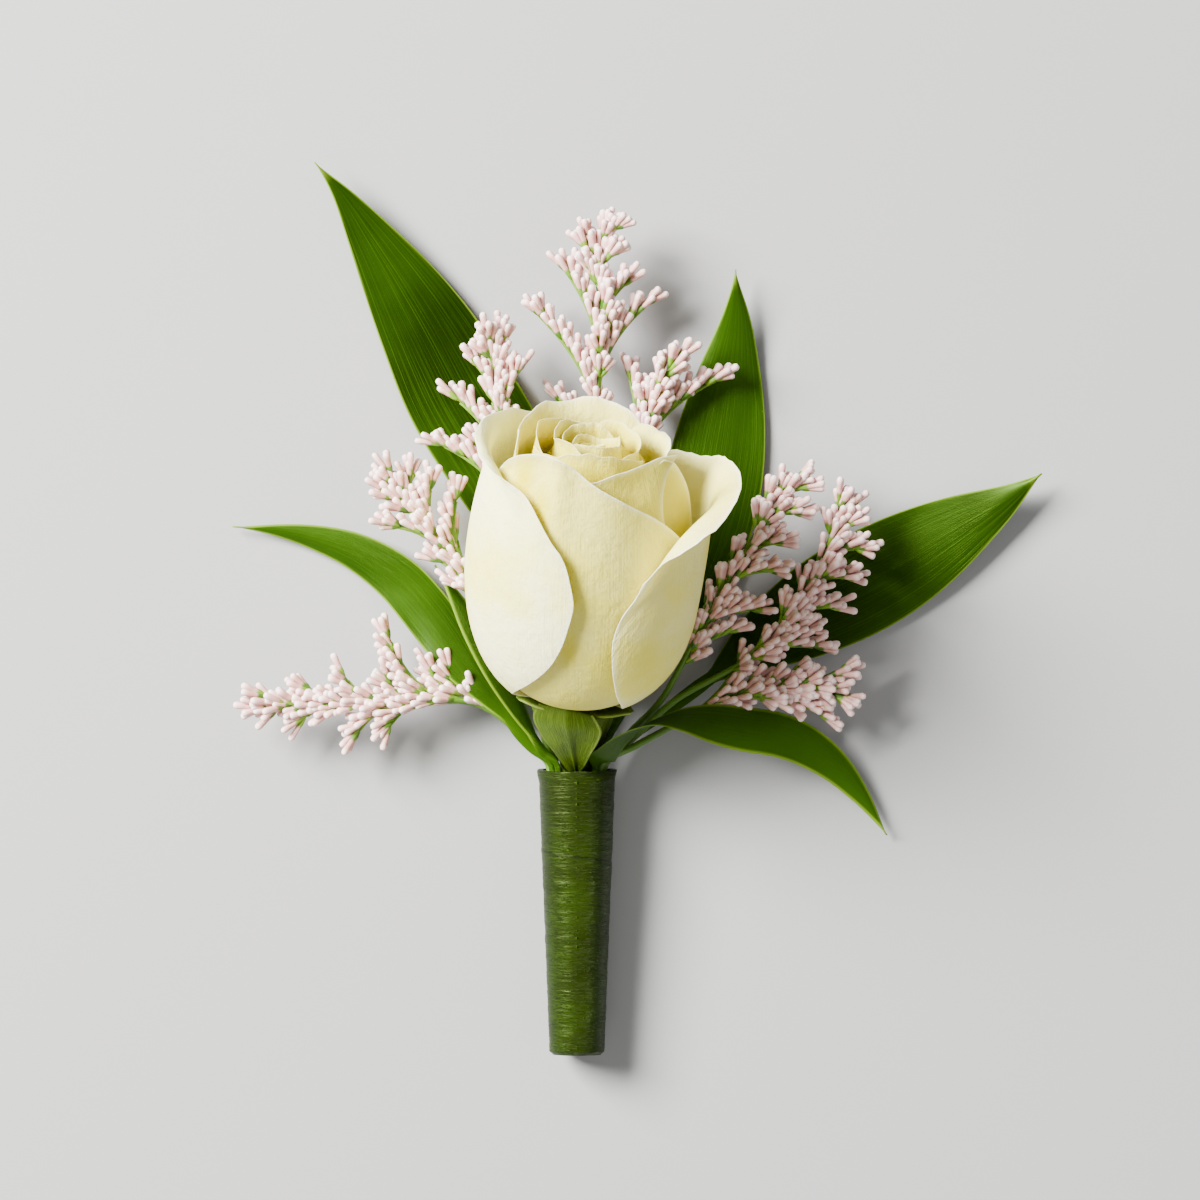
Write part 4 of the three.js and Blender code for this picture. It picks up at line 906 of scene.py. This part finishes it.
def add_leaf(parts, leaf, thickness, seed):
    """A leaf and its stalk: rings across the path, each an ellipse of half-width by half-thickness
    whose edges hang by the square of the share across. It is round in the tape and flat in the blade."""
    rows, columns = 150, 44
    path, inside = stem_path(leaf["slot"], leaf["places"], rows)
    t = np.linspace(0, 1, rows)
    blade_from = inside + leaf["stalk"] / path_length(path)
    along = np.clip((t - blade_from) / (1 - blade_from), 0, 1)
    side, face = sides_of(path)
    turning = eased((t - inside) / (1 - inside), *leaf.get("turning", USUAL_TURNING))
    turn = np.radians(lerp(*leaf["turn"], turning))[:, None]
    across = side * np.cos(turn) + face * np.sin(turn)
    up = face * np.cos(turn) - side * np.sin(turn)
    in_tape = lerp(RING_STEM_END_RADIUS, RING_STEM_MOUTH_RADIUS, np.clip(t / inside, 0, 1))
    in_tape = in_tape * STALK_SHARE
    opening = eased(t, inside, blade_from)
    stalk = lerp(in_tape, leaf.get("base", USUAL_BASE), opening)
    half = np.maximum(leaf["half"] * blade_share(along, leaf["peak"]), lerp(stalk, 0.12, along**0.6))
    thick = lerp(in_tape, thickness / 2, eased(t, inside, lerp(inside, blade_from, 0.8)))
    angle = circle(columns)
    share = np.cos(angle)[None, :]
    arch = LEAF_ARCH * np.maximum(half - stalk, 0)[:, None]
    wave = noise_wave(t[:, None] * 22, 1.2 * np.sign(share), seed) * LEAF_WAVE * half[:, None]
    middle = path[:, None] + across[:, None] * (half[:, None] * share)[..., None]
    middle = middle - up[:, None] * ((arch - wave * eased(along, 0, 0.2)[:, None]) * share**2)[..., None]
    clear = middle[..., 2] - LEAF_LOWEST
    middle[..., 2] = LEAF_LOWEST + (clear + np.sqrt(clear**2 + 0.04)) / 2
    lift = thick[:, None] * np.sin(angle)[None, :] * (1 - THINNER_EDGE * share**2)
    rings = middle + up[:, None] * lift[..., None]
    rings[..., 2] = np.maximum(rings[..., 2], 0.05)
    places = np.vstack([rings.reshape(-1, 3), path[:1], path[-1:]])
    width = np.maximum(half, 0.3)[:, None]
    # Partly the leaf's own pale margin and partly a painted highlight along the edge; the pale tip is
    # its own colour.
    pale = eased(np.abs(share), 1 - leaf["pale"] * 1.6 / width, 1 - leaf["pale"] * 0.5 / width)
    pale = np.maximum(pale * eased(along, 0, 0.1)[:, None], eased(along, 0.95, 1.0)[:, None])
    parts.add(
        places,
        capped_faces(rows, columns),
        across=np.r_[(share + 0 * half[:, None]).ravel(), 0, 0],
        along=np.r_[np.repeat(along, columns), 0, 1],
        edge=np.r_[pale.ravel(), 0, 1],
        shade=float(seed),
        bright=leaf["bright"],
    )


# ---- the sprays of buds

# Each spray's slot, the share of its free stem that is bare of buds, its places from the neck to the
# tip, and for each sprig where it leaves the main stem (x, y) and where it ends (x, y).
SPRAYS = {
    "spray_top": dict(
        slot=271, bare=0.86,
        places=[(0.8, 12, 1.6), (2, 28, 1.6), (2.8, 42, 3.2), (3.2, 52, 5.4), (3.3, 61.8, 7),
                (3.8, 67.5, 7.6), (3, 73, 8), (3.3, 77, 8.2), (4.2, 82.3, 8.4)],
        sprigs=[(2.6, 49, -7.5, 69.4), (3.2, 60, -3, 76), (3.4, 69.5, 0.9, 80.5), (3.2, 55, 11.9, 70.5),
                (3.5, 65, 8.9, 73.8), (3.2, 71, 6.9, 77.6), (2.8, 76, 7.5, 81.3), (2.8, 51, 1.6, 62.4),
                (3.2, 57, 6, 68), (2.2, 44, -4.4, 56.4)],
    ),
    "spray_top_right": dict(
        slot=290, bare=0.84,
        places=[(3.6, 12, 2.0), (7, 28, 2.6), (9, 42, 4), (10.4, 52, 6), (12.8, 58, 7.4),
                (16.4, 63.2, 8)],
        sprigs=[(9.2, 45, 23, 59), (9.6, 47, 11, 56.8), (8.6, 42, 7.2, 60.7), (10.6, 52, 13.9, 61),
                (9.6, 48, 17, 56.5)],
    ),
    "spray_upper_left": dict(
        slot=218, bare=0.86,
        places=[(-4.6, 11, 3.6), (-7.2, 22, 3.8), (-9, 33, 4.8), (-10.4, 42, 6.2), (-11.2, 50, 7.4),
                (-12, 57, 8.2), (-12.4, 63, 8.4), (-11.8, 66.8, 8.6)],
        sprigs=[(-11, 49, -7.6, 60.8), (-12, 57, -9.6, 65.7), (-11.3, 52, -16.6, 62),
                (-12.3, 58, -14.5, 65.4), (-10.4, 43, -19.3, 56.2), (-10.8, 46, -13.4, 57),
                (-9.2, 36, -22, 49.2), (-9.6, 38, -16, 49.4)],
    ),
    "spray_left": dict(
        slot=197, bare=0.8,
        places=[(-5.2, 6, 4.2), (-7.6, 13, 4.4), (-10.6, 20, 5.6), (-14.2, 26, 8), (-18, 31, 9),
                (-21.8, 35.2, 9.2), (-24.6, 38.6, 9.2), (-27.2, 42.6, 9.2), (-28.8, 46, 9.2)],
        sprigs=[(-22.6, 36, -30, 42.8), (-22.4, 36, -24.3, 45.6), (-19, 32.5, -21.3, 44),
                (-16, 28.5, -17.4, 42.2), (-18, 31, -29.2, 36.4), (-14.5, 26.5, -18.2, 36.4),
                (-12.8, 24, -22.2, 32), (-11.5, 21.5, -19.5, 28)],
    ),
    "spray_lower_left": dict(
        slot=177, bare=0.76,
        places=[(-6.6, 3, 5.1), (-10, 6.6, 4.8), (-13.8, 9.2, 4.9), (-17.6, 10.2, 5.9),
                (-21.4, 10, 6.8), (-25.4, 9.8, 7), (-31.6, 9.4, 7), (-38.8, 9.4, 6.8),
                (-44.9, 9.2, 6.6), (-49.6, 8.3, 6.4)],
        sprigs=[(-18, 10.2, -28.6, 21.2), (-19, 10.2, -27, 17), (-16.5, 10, -22, 16.5),
                (-14, 9.3, -19.2, 15.8), (-11.5, 7.8, -15.6, 13.2), (-22, 10, -29, 15),
                (-27, 9.7, -35.6, 15.2), (-25.5, 9.8, -31.8, 12), (-33, 9.4, -41.6, 13.8),
                (-31, 9.4, -37.2, 12), (-40, 9.4, -47.6, 12), (-25, 9.8, -33.8, 3.8),
                (-21.5, 10, -29, 4.6), (-35, 9.4, -42, 6.2)],
    ),
    "spray_right_inner": dict(
        slot=348, bare=0.84,
        places=[(7.8, 5.2, 4.9), (12.4, 10, 5.2), (15, 14.4, 5.8), (18.5, 21, 7), (21.7, 26.7, 7.8),
                (24.9, 32, 8.2), (27.8, 37.2, 8.4), (30.5, 41.2, 8.6), (34.4, 45.2, 8.8)],
        sprigs=[(28.4, 38, 35.6, 42), (26.6, 35, 34.6, 37.8), (23.6, 30, 32, 33.8),
                (21, 25.5, 31, 29.5), (17.5, 19, 28.2, 23.6), (18, 20, 26, 31.2), (16, 16, 19.6, 26.8),
                (19.5, 23, 23.4, 33.6), (25.5, 33, 28.6, 42.4), (15, 14.4, 25, 21)],
    ),
    "spray_right_outer": dict(
        slot=8, bare=0.82,
        places=[(8.6, 4.8, 6.2), (14.6, 10.2, 6.4), (24.5, 15.8, 7.2), (29.7, 20, 7.6), (33.3, 24.8, 8),
                (35.2, 28.8, 8.2), (37.4, 33.6, 8.4), (38.8, 37, 8.6), (41.6, 40.8, 8.8)],
        sprigs=[(36.6, 32, 42.4, 37.2), (35.4, 29.5, 43.8, 32.6), (33.5, 25.5, 42.4, 28.2),
                (33, 24.5, 38.4, 31.5), (30.5, 21, 39.6, 24), (26.5, 17.4, 36.4, 20.6),
                (24.5, 15.8, 37.6, 17.8), (29.5, 20, 33.4, 29), (36.6, 32, 39, 41.5),
                (27, 17.8, 30.8, 26), (22, 14.2, 28.4, 20.6)],
    ),
    "spray_right_lower": dict(
        slot=28, bare=0.8,
        places=[(8.6, 3.4, 7.2), (13.8, 6.2, 6.8), (18.8, 9, 7), (24.5, 11, 7.4), (34, 12.2, 7.8),
                (42.2, 10.6, 7.8)],
        sprigs=[(30, 11.8, 41.2, 16), (24, 10.8, 33.8, 15.8), (19, 9, 27.6, 14.8),
                (16.5, 7.8, 24.8, 17.6), (22.5, 10.5, 38.4, 6.8), (27, 11.4, 36.6, 12.6),
                (21, 9.9, 30.6, 9.6), (25, 11, 33, 8.2)],
    ),
}
# A bud from its foot to its tip: the share of its length and the share of its radius.
BUD_RINGS = np.array([(0.0, 0.4), (0.14, 0.66), (0.3, 0.84), (0.36, 0.78), (0.62, 0.86), (0.87, 1.02),
                      (0.97, 0.72)])
BUD_SIDES = 6
TUFT_EVERY = 2.0
# How far short of its last place a stem ends, because its last buds reach on from there.
MAIN_SHORT = 2.6
SPRIG_SHORT = 2.5
MAIN_TIP_RADIUS = 0.26
SPRIG_RADII = (0.3, 0.2)
SPRIG_BARE = 0.26


def add_buds(parts, feet, directions, lengths, radii, tones):
    """Club-shaped buds: rings of six points along each direction, narrow at the calyx and widest near
    the tip, with a point at both ends. One array holds the points of all of them."""
    ahead = unit(directions)
    side = unit(np.cross(ahead, np.where(np.abs(ahead[:, 2:]) > 0.9, [[1.0, 0, 0]], [[0, 0, 1.0]])))
    up = np.cross(side, ahead)
    angle = circle(BUD_SIDES)[None, :, None]
    spokes = np.cos(angle) * side[:, None] + np.sin(angle) * up[:, None]
    centres = feet[:, None] + ahead[:, None] * (BUD_RINGS[:, 0] * lengths[:, None])[..., None]
    rings = centres[:, :, None] + spokes[:, None] * (BUD_RINGS[:, 1] * radii[:, None])[..., None, None]
    each = len(BUD_RINGS) * BUD_SIDES
    places = np.concatenate([rings.reshape(len(feet), each, 3), feet[:, None],
                             (feet + ahead * lengths[:, None])[:, None]], 1)
    one = capped_faces(len(BUD_RINGS), BUD_SIDES, flip=True)
    faces = [[i + k * (each + 2) for i in face] for k in range(len(feet)) for face in one]
    along = np.r_[np.repeat(BUD_RINGS[:, 0], BUD_SIDES), 0, 1]
    parts.add(places, faces, along=np.tile(along, len(feet)), tone=np.repeat(tones, each + 2))


def bud_rows(parts, path, bare, lean, rng, length, radius):
    """Tufts of four buds along a path from the share bare on, all reaching forward, on the side that
    lean points to or on each side by turns where lean lies along the path, and three at its tip."""
    reach = path_length(path) * (1 - bare)
    stops = np.linspace(bare, 1 - 0.7 / path_length(path), max(2, int(round(reach / TUFT_EVERY)) + 1))
    at = np.clip((stops * (len(path) - 1)).astype(int), 0, len(path) - 1)
    turn = np.r_[np.repeat((-1.0) ** np.arange(len(at)), 4), 1, 1, 1]
    fan = np.r_[np.tile([0.12, 0.3, 0.48, 0.68], len(at)), -0.2, 0.04, 0.28]
    rise = np.r_[np.tile([0.3, -0.1, 0.42, 0.1], len(at)), 0.1, 0.35, 0.05]
    at = np.r_[np.repeat(at, 4), [len(path) - 1] * 3]
    ahead = unit(np.gradient(path, axis=0))[at]
    side = unit(np.cross(ahead, [[0, 0, 1.0]]))
    towards = (side * lean).sum(1)
    side = side * np.where(np.abs(towards) < 0.2, turn, np.sign(towards))[:, None]
    fan, rise = fan + rng.normal(0, 0.09, len(at)), rise + rng.normal(0, 0.1, len(at))
    directions = ahead + side * fan[:, None] + np.array([[0, 0, 1.0]]) * rise[:, None]
    feet = path[at] + ahead * rng.uniform(-0.6, 0.6, (len(at), 1)) + side * 0.2
    size = rng.uniform(0.74, 1.1, len(at))
    add_buds(parts, feet, directions, length * size, radius * rng.uniform(0.9, 1.1, len(at)),
             rng.uniform(0, 1, len(at)))


def add_spray(parts, spray, seed, length, radius):
    """A main stem through its places and a bent sprig to each tip, all of them budded."""
    rng = np.random.default_rng(seed)
    *rest, last = np.array(spray["places"])
    main, inside = stem_path(spray["slot"], [*rest, last - MAIN_SHORT * unit(last - rest[-1])], 160)
    t = np.linspace(0, 1, 160)
    free = np.clip((t - inside) / (1 - inside), 0, 1)
    thick = np.where(t < inside, lerp(RING_STEM_END_RADIUS, RING_STEM_MOUTH_RADIUS, t / inside),
                     lerp(RING_STEM_MOUTH_RADIUS, MAIN_TIP_RADIUS, free**0.8))
    places, faces = tube(main, thick, 8)
    parts.add(places, faces, along=0, tone=0.75)
    ahead = unit(np.gradient(main, axis=0))
    bud_rows(parts, main, lerp(inside, 1, spray["bare"]), ahead[-1], rng, length, radius)
    for x, y, *tip in spray["sprigs"]:
        root = int(np.argmin(np.where(free > 0.1, np.hypot(main[:, 0] - x, main[:, 1] - y), 1e9)))
        tip = np.array([*tip, main[root, 2] + rng.uniform(-0.9, 1.8)])
        bend = main[root] + ahead[root] * 0.42 * np.linalg.norm(tip - main[root])
        end = tip - unit(tip - bend) * SPRIG_SHORT
        s = np.linspace(0, 1, 24)[:, None]
        path = (1 - s) ** 2 * main[root] + 2 * s * (1 - s) * bend + s**2 * end
        sprig, faces = tube(path, lerp(*SPRIG_RADII, s[:, 0]), 6)
        parts.add(sprig, faces, along=0, tone=0.4)
        bud_rows(parts, path, SPRIG_BARE, ahead[root], rng, length, radius)


# ---- the add-on


def size_property(name, description, metres):
    return bpy.props.FloatProperty(
        name=name, description=description, default=metres, unit="LENGTH", precision=5)


def colour_property(name, description, code):
    return bpy.props.FloatVectorProperty(
        name=name, description=description, default=srgb(code), subtype="COLOR", size=3, min=0, max=1)


class BouquetSizes(bpy.types.PropertyGroup):
    """Sizes of the finer forms, in metres."""

    petal_thickness: size_property("Petal thickness", "Thickness in the middle of a petal", 0.00045)
    blade_thickness: size_property("Blade thickness", "Thickness in the middle of a leaf", 0.0006)
    bud_length: size_property("Bud length", "From the foot of a bud's calyx to its tip", 0.0042)
    bud_radius: size_property("Bud radius", "Radius of a bud near its tip", 0.00053)
    tape_step: size_property("Tape step", "How far a turn of tape stands above the one before", 0.00007)


class BouquetColours(bpy.types.PropertyGroup):
    """Colours of each finish."""

    petal: colour_property("Petal", "The body of a petal", "EAE26E")
    petal_pale: colour_property("Pale petal", "The paler parts of a petal", "F5F4BE")
    # Partly the yellow of petals far in the bud, partly painted shade in the hollows and on petals in
    # shade.
    petal_fold_and_shade: colour_property("Petal fold", "Deep in the bud", "CCBE00")
    petal_foot: colour_property("Petal foot", "The greener foot of a petal", "B4BC3C")
    # Partly the petal's own pale edge, partly a painted highlight along the thin rim.
    petal_rim_and_highlight: colour_property("Petal rim", "The edge of a petal", "F8F6D8")
    leaf: colour_property("Leaf", "The body of a leaf", "071400")
    # Random lighter patches, and painted light that lifts the leaves lying in the rose's shadow.
    leaf_light_and_lift: colour_property("Light leaf", "Lighter patches of a leaf", "234300")
    leaf_vein: colour_property("Leaf vein", "The veins of a leaf", "2C4B04")
    # Partly the leaf's own pale margin, partly a painted highlight along the edge.
    leaf_edge_and_highlight: colour_property("Leaf edge", "The pale edge of a leaf", "5E781C")
    tape: colour_property("Tape", "The tape", "101900")
    # Random lighter patches, and the painted highlight on the raised squiggles.
    tape_light_and_highlight: colour_property("Light tape", "Lighter patches of the tape", "253B04")
    tape_dark: colour_property("Dark tape", "Folds and edges of the tape", "050A00")
    stem: colour_property("Stem", "The rose's hip and stem", "2A3C00")
    stem_light: colour_property("Light stem", "Lighter patches of the hip", "3B4E04")
    stem_streak: colour_property("Stem streak", "Fine streaks on the hip", "51661A")
    stem_pale: colour_property("Pale sepal edge", "The edges of the sepals", "6E8034")
    bud: colour_property("Bud", "The body of a bud", "DFB5B4")
    bud_deep: colour_property("Deep bud", "Pinker buds", "BF8F8A")
    bud_tip: colour_property("Bud tip", "The rounded tip of a bud", "F5DFE0")
    calyx: colour_property("Calyx", "The foot of a bud", "6C9018")
    spray_stem: colour_property("Spray stem", "The stems of the sprays", "2C5600")


# The first seed of the petals, the leaves and the sprays. A petal takes three in a row.
PETAL_SEED, LEAF_SEED, SPRAY_SEED = 5, 31, 71


class PetalsOperator(bpy.types.Operator):
    """Makes the petals of the rose, each as a piece of its own"""

    bl_idname = "boutonniere.petals"
    bl_label = "Petals"

    def execute(self, context):
        thickness = context.scene.boutonniere_sizes.petal_thickness / MM
        material = petal_finish(context.scene.boutonniere_colours)
        for number, (name, petal) in enumerate(PETALS.items()):
            parts = Parts()
            add_petal(parts, petal, PETAL_SEED + 11 * number, thickness, "tint" not in petal)
            make_piece(name, parts, "rose_bloom", material)
        parts = Parts()
        add_heart_floor(parts)
        make_piece("petal_heart_floor", parts, "rose_bloom", material)
        return {"FINISHED"}


class HipOperator(bpy.types.Operator):
    """Makes the rose's stem, hip and sepals"""

    bl_idname = "boutonniere.hip"
    bl_label = "Stem, hip and sepals"

    def execute(self, context):
        colours = context.scene.boutonniere_colours
        parts = Parts()
        stem_and_hip(parts)
        make_piece("hip", parts, "rose_stem", stem_finish("hip_green", colours))
        parts = Parts()
        folded_sepal(parts)
        for way, reach in SEPALS:
            hugging_sepal(parts, way, reach)
        make_piece("sepals", parts, "rose_stem", stem_finish("sepal_green", colours))
        return {"FINISHED"}


class TapeOperator(bpy.types.Operator):
    """Makes the sleeve of stem tape"""

    bl_idname = "boutonniere.tape"
    bl_label = "Stem tape"

    def execute(self, context):
        parts = Parts()
        tape_sleeve(parts, context.scene.boutonniere_sizes.tape_step / MM)
        material = tape_finish(context.scene.boutonniere_colours)
        make_piece("tape", parts, "stem_wrap", material)
        return {"FINISHED"}


class LeavesOperator(bpy.types.Operator):
    """Makes the leaves with their stalks"""

    bl_idname = "boutonniere.leaves"
    bl_label = "Leaves"

    def execute(self, context):
        thickness = context.scene.boutonniere_sizes.blade_thickness / MM
        material = leaf_finish(context.scene.boutonniere_colours)
        for seed, (name, leaf) in enumerate(LEAVES.items(), LEAF_SEED):
            parts = Parts()
            add_leaf(parts, leaf, thickness, seed)
            make_piece(f"{name}_blade", parts, name, material)
        return {"FINISHED"}


class SpraysOperator(bpy.types.Operator):
    """Makes the sprays of buds"""

    bl_idname = "boutonniere.sprays"
    bl_label = "Sprays"

    def execute(self, context):
        sizes = context.scene.boutonniere_sizes
        material = bud_finish(context.scene.boutonniere_colours)
        for seed, (name, spray) in enumerate(SPRAYS.items(), SPRAY_SEED):
            parts = Parts()
            add_spray(parts, spray, seed, sizes.bud_length / MM, sizes.bud_radius / MM)
            make_piece(f"{name}_buds", parts, name, material)
        return {"FINISHED"}


FLOOR_HALF = 3
FLOOR_LEVEL = -0.0004
CAMERA_EAST_OF_NECK = 0.00345
CAMERA_NORTH_OF_NECK = 0.0252
CAMERA_HEIGHT = 1.1
CAMERA_FIELD = 0.18
WARM_WHITE = (1, 0.985, 0.89)


def soft_light(name, place, size, power, aim):
    """A square area light at a place, turned to face aim, both in metres."""
    light = bpy.data.lights.new(name, "AREA")
    light.size, light.energy, light.color = size, power, WARM_WHITE
    lamp = bpy.data.objects.new(name, light)
    lamp.location = place
    lamp.rotation_euler = (Vector(aim) - Vector(place)).to_track_quat("-Z", "Y").to_euler()
    bpy.context.scene.collection.objects.link(lamp)


class StageOperator(bpy.types.Operator):
    """Makes the floor, the soft studio light and the camera that looks straight down"""

    bl_idname = "boutonniere.stage"
    bl_label = "Stage"

    def execute(self, context):
        scene = context.scene
        floor_finish = Finish("floor_plain", Roughness=0.8)
        floor_finish.shader.inputs["Base Color"].default_value = (0.302, 0.306, 0.328, 1)
        mesh = bpy.data.meshes.new("floor")
        low, high = -FLOOR_HALF, FLOOR_HALF
        corners = [(low, low), (high, low), (high, high), (low, high)]
        mesh.from_pydata([(*corner, FLOOR_LEVEL) for corner in corners], [], [(0, 1, 2, 3)])
        mesh.materials.append(floor_finish.material)
        floor = bpy.data.objects.new("floor", mesh)
        scene.collection.objects.link(floor)
        aim = (NECK[0], NECK[1] + 0.025, 0.01)
        soft_light("key", (-0.7, 0.4, 0.63), 0.5, 87, aim)
        soft_light("fill", (0.7, -0.2, 0.7), 0.9, 3.0, aim)
        soft_light("front", (0.0, -0.8, 0.5), 0.7, 3.5, aim)
        world = bpy.data.worlds.new("studio")
        world.use_nodes = True
        background = world.node_tree.nodes["Background"]
        background.inputs["Color"].default_value = (0.98, 0.98, 0.93, 1)
        background.inputs["Strength"].default_value = 0.25
        scene.world = world
        camera = bpy.data.cameras.new("camera")
        camera.angle = 2 * np.arctan(CAMERA_FIELD / 2 / CAMERA_HEIGHT)
        viewer = bpy.data.objects.new("camera", camera)
        x, y = NECK[0] + CAMERA_EAST_OF_NECK, NECK[1] + CAMERA_NORTH_OF_NECK
        viewer.location = (x, y, CAMERA_HEIGHT)
        scene.collection.objects.link(viewer)
        scene.camera = viewer
        return {"FINISHED"}


OPERATORS = (TapeOperator, HipOperator, PetalsOperator, LeavesOperator, SpraysOperator, StageOperator)


class BoutonnierePanel(bpy.types.Panel):
    """Lists the steps that make the boutonniere, with its sizes and colours"""

    bl_idname = "VIEW3D_PT_boutonniere"
    bl_label = "Boutonniere"
    bl_space_type = "VIEW_3D"
    bl_region_type = "UI"
    bl_category = "Boutonniere"

    def draw(self, context):
        for group in (context.scene.boutonniere_sizes, context.scene.boutonniere_colours):
            for key in group.__annotations__:
                self.layout.prop(group, key)
        for operator in OPERATORS:
            self.layout.operator(operator.bl_idname)


CLASSES = (BouquetSizes, BouquetColours, *OPERATORS, BoutonnierePanel)


def register():
    for item in CLASSES:
        bpy.utils.register_class(item)
    bpy.types.Scene.boutonniere_sizes = bpy.props.PointerProperty(type=BouquetSizes)
    bpy.types.Scene.boutonniere_colours = bpy.props.PointerProperty(type=BouquetColours)


def unregister():
    del bpy.types.Scene.boutonniere_sizes
    del bpy.types.Scene.boutonniere_colours
    for item in reversed(CLASSES):
        bpy.utils.unregister_class(item)


def main():
    register()
    for operator in OPERATORS:
        group, name = operator.bl_idname.split(".")
        getattr(getattr(bpy.ops, group), name)()
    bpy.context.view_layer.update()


if __name__ == "__main__":
    main()
